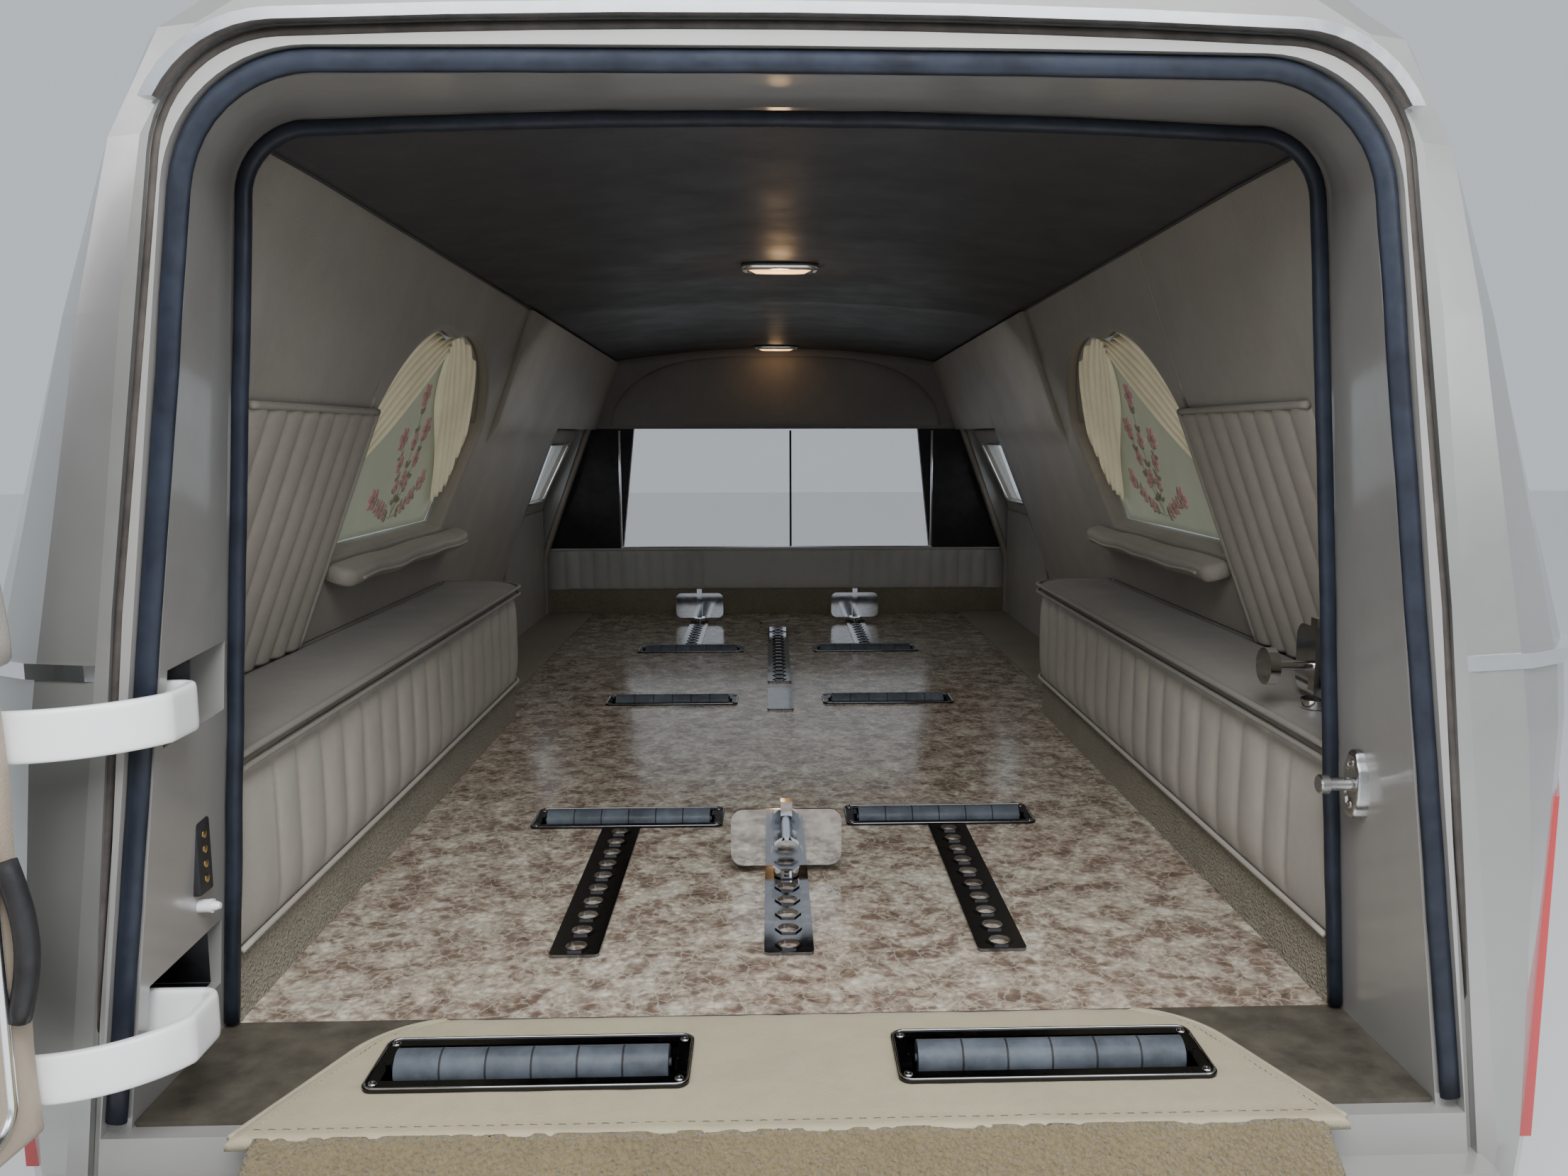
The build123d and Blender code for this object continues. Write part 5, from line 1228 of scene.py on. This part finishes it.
def plug_half(h):
    """Half width of the rear door's inner pad at a height, with its rounded head."""
    shoulder, r = 0.79, 0.088
    if h < WAIST_H:
        half = blend(0.526, 0.52, clamp(h / WAIST_H))
    else:
        half = blend(0.52, 0.462, (h - WAIST_H) / 0.398)
    if h > shoulder:
        half -= r * (1 - sqrt(max(0.0, 1 - ((h - shoulder) / r) ** 2))) if h < shoulder + r else r
    return half - 0.006


def make_rear_door_lining():
    """The kick pad, the rolled pad over it, the glass's dished surround, the piped border and the grip."""
    b = Build()
    face = -0.1195
    on_door = lambda x, out, h: SWING @ at(x, face + out, h)

    def pad(hs, reach, round_r, mark):
        def pair(h, s):
            half = plug_half(h)
            x = (2 * s - 1) * half
            d = min(h - hs[0], hs[-1] - h, half - abs(x))
            return on_door(x, reach(h) - drop(d, round_r), h), on_door(x, 0, h)
        b.slab(hs, edged(1.0, 1 / 48, 0.03), pair, mark)
    pad([0.048, 0.05, 0.054, 0.06] + steps(0.07, 0.42, 24) + [0.428, 0.433, 0.436],
        lambda h: 0.0115 + 0.001 * sin(h * 40), 0.006, 1)
    pad([0.44 + 0.104 * (0.5 - 0.5 * cos(pi * i / 16)) for i in range(17)], lambda h: 0.033, 0.026, 0)
    eye, low, high = (0.0, 0.66), 0.548, 0.868
    pane = rounded([(0.322, 0.75), (-0.322, 0.75), (-0.35, 0.55), (0.35, 0.55)], 0.05, 8)
    rim = [(plug_half(h), h) for h in steps(low, high, 26)]
    rim += [(x, 0.872) for x in steps(0.36, -0.36, 12)[1:-1]]
    rim += [(-plug_half(h), h) for h in steps(high, low, 26)] + [(x, low) for x in steps(-0.4, 0.4, 12)]

    def dish(row, a):
        share, lift = row
        x, h = polar(eye, blend(hit(pane, a, eye) + 0.002, hit(rim, a, eye), share), a)
        out = blend(0.028, 0.104, clamp((h - 0.544) / 0.356)) * lift if lift > 0 else 0.003
        return on_door(x, out, h), on_door(x, 0, h)
    b.slab(((0.0, -1), (0.0, 0.25), (0.02, 0.7), (0.07, 0.92), (0.14, 1.0), (0.45, 1.03), (0.8, 1.0),
            (0.92, 0.86), (0.98, 0.6), (1.0, 0.25)), around(160, -pi), dish, ring=True)
    border = rounded([(0.455, 0.395), (-0.455, 0.395), (-0.455, 0.095), (0.455, 0.095)], 0.025, 8)
    b.tube([on_door(x, 0.011, h) for x, h in border], 0.0055, mark=2, closed=True,
           up=SWING.to_3x3() @ Vector((0, 1, 0)))
    b.tube([on_door(-0.488, 0.018 + 0.012 * sin(pi * t), 0.16 + 0.13 * t) for t in steps(0, 1, 14)],
           0.009, 12, 3, up=(0, 1, 0.01))
    b.make("rear_door_lining", "lining_vinyl", "rear_door_trim",
           looks=["lining_vinyl", "door_vinyl", "bright_trim", "frame_black"], body="rear_door")


def make_jamb_hardware():
    """Hinge pins, polished striker, contact plate with brass contacts and the ringed switch."""
    b = Build()
    for h in ARM_HEIGHTS:
        b.add(lathe((HINGE_X, HINGE_Y, DECK + h - 0.0348), UP,
                    [(0, 0.0065), (0.001, 0.0078), (0.0686, 0.0078), (0.0696, 0.0065)], 20))
    face, y, z = 0.5744, -0.067, DECK + 0.27
    outline = []
    for a in around(48):
        lobe = 1 + 0.1 * cos(4 * a)
        outline.append((0.0155 * lobe * power(cos(a), 0.55), 0.032 * lobe * power(sin(a), 0.55)))
    rings = [(0.028, 1.0), (-0.0085, 1.0), (-0.0108, 0.95), (-0.0115, 0.86), (-0.0115, 0.7), (-0.0095, 0.62),
             (-0.0095, 0.3)]
    b.add(skin([[(face + out, y + dy * k, z + dz * k) for dy, dz in outline] for out, k in rings]))
    b.add(lathe((face - 0.009, y, z), (-1, 0, 0),
                [(0, 0.0075), (0.002, 0.0068), (0.024, 0.0066), (0.026, 0.01), (0.0335, 0.01),
                 (0.035, 0.0085)], 28))
    for dz in (-0.0215, 0.0215):
        b.add(lathe((face - 0.0105, y, z + dz), (-1, 0, 0),
                    [(0, 0.0045), (0.0014, 0.0042), (0.002, 0.0026), (0.0012, 0.001)], 16))
    left, y, z = -0.5802, -0.07, DECK + 0.21
    b.add(box((left - 0.028, y - 0.0138, z - 0.037), (left + 0.0042, y + 0.0138, z + 0.037), 0.0025), 1)
    for k in range(4):
        b.add(lathe((left + 0.004, y, z - 0.0225 + 0.015 * k), (1, 0, 0),
                    [(0, 0.0042), (0.0012, 0.004), (0.0018, 0.0026)], 18), 2)
    b.add(lathe((left - 0.028, y, DECK + 0.159), (1, 0, 0),
                [(0, 0.0066), (0.0335, 0.0066), (0.0335, 0.0069), (0.0365, 0.0069), (0.0365, 0.0048),
                 (0.04, 0.0046), (0.0436, 0.003)], 24), 3)
    b.make("jamb_hardware", "fitting_metal", "jamb_fittings",
           looks=["fitting_metal", "frame_black", "contact_brass", "arm_silver"], flat_angle=40)


def make_pocket_shade_sheets():
    """Dark sheets on the walls of the hinge pockets: painted shade that makes the pockets read dark."""
    b = Build()
    for h in ARM_HEIGHTS:
        z = DECK + h
        b.add(box((-0.6688, -0.166, z - 0.0342), (-0.6684, -0.018, z + 0.0342), 0))
        b.add(box((-0.668, -0.0167, z - 0.0342), (-0.606, -0.0163, z + 0.0342), 0))
        for dz in (-0.0347, 0.0343):
            b.add(box((-0.668, -0.166, z + dz), (-0.606, -0.018, z + dz + 0.0004), 0))
    b.make("pocket_shade_sheets", "frame_dark")


def make_roller_rings():
    """Worn gaps between each roller's rubber segments."""
    length, segments = 0.262, 6
    for row, (_, y, z) in ROWS.items():
        for side, word in SIDES:
            b = Build()
            for k in range(1, segments):
                x = side * ROLLER_X - length / 2 + length * k / segments
                b.add(lathe((x - 0.0012, y, z), (1, 0, 0),
                            [(0, 0.0166), (0.0004, 0.01735), (0.002, 0.01735), (0.0024, 0.0166)], 40))
            b.make(f"{row}_roller_rings_{word}", "roller_rubber", looks=["frame_black"],
                   body=f"{row}_roller_{word}")


for maker in (make_walls, make_pleated_panels, make_benches, make_pads, make_kick_strips, make_ledges,
              make_shades, make_sprigs, make_curtains, make_seals, make_ceiling, make_front_wall,
              make_dome_lamps, make_hinge_arms, make_apron, make_hardware, make_side_door_trims,
              make_rear_door_lining, make_jamb_hardware, make_pocket_shade_sheets, make_roller_rings):
    maker()
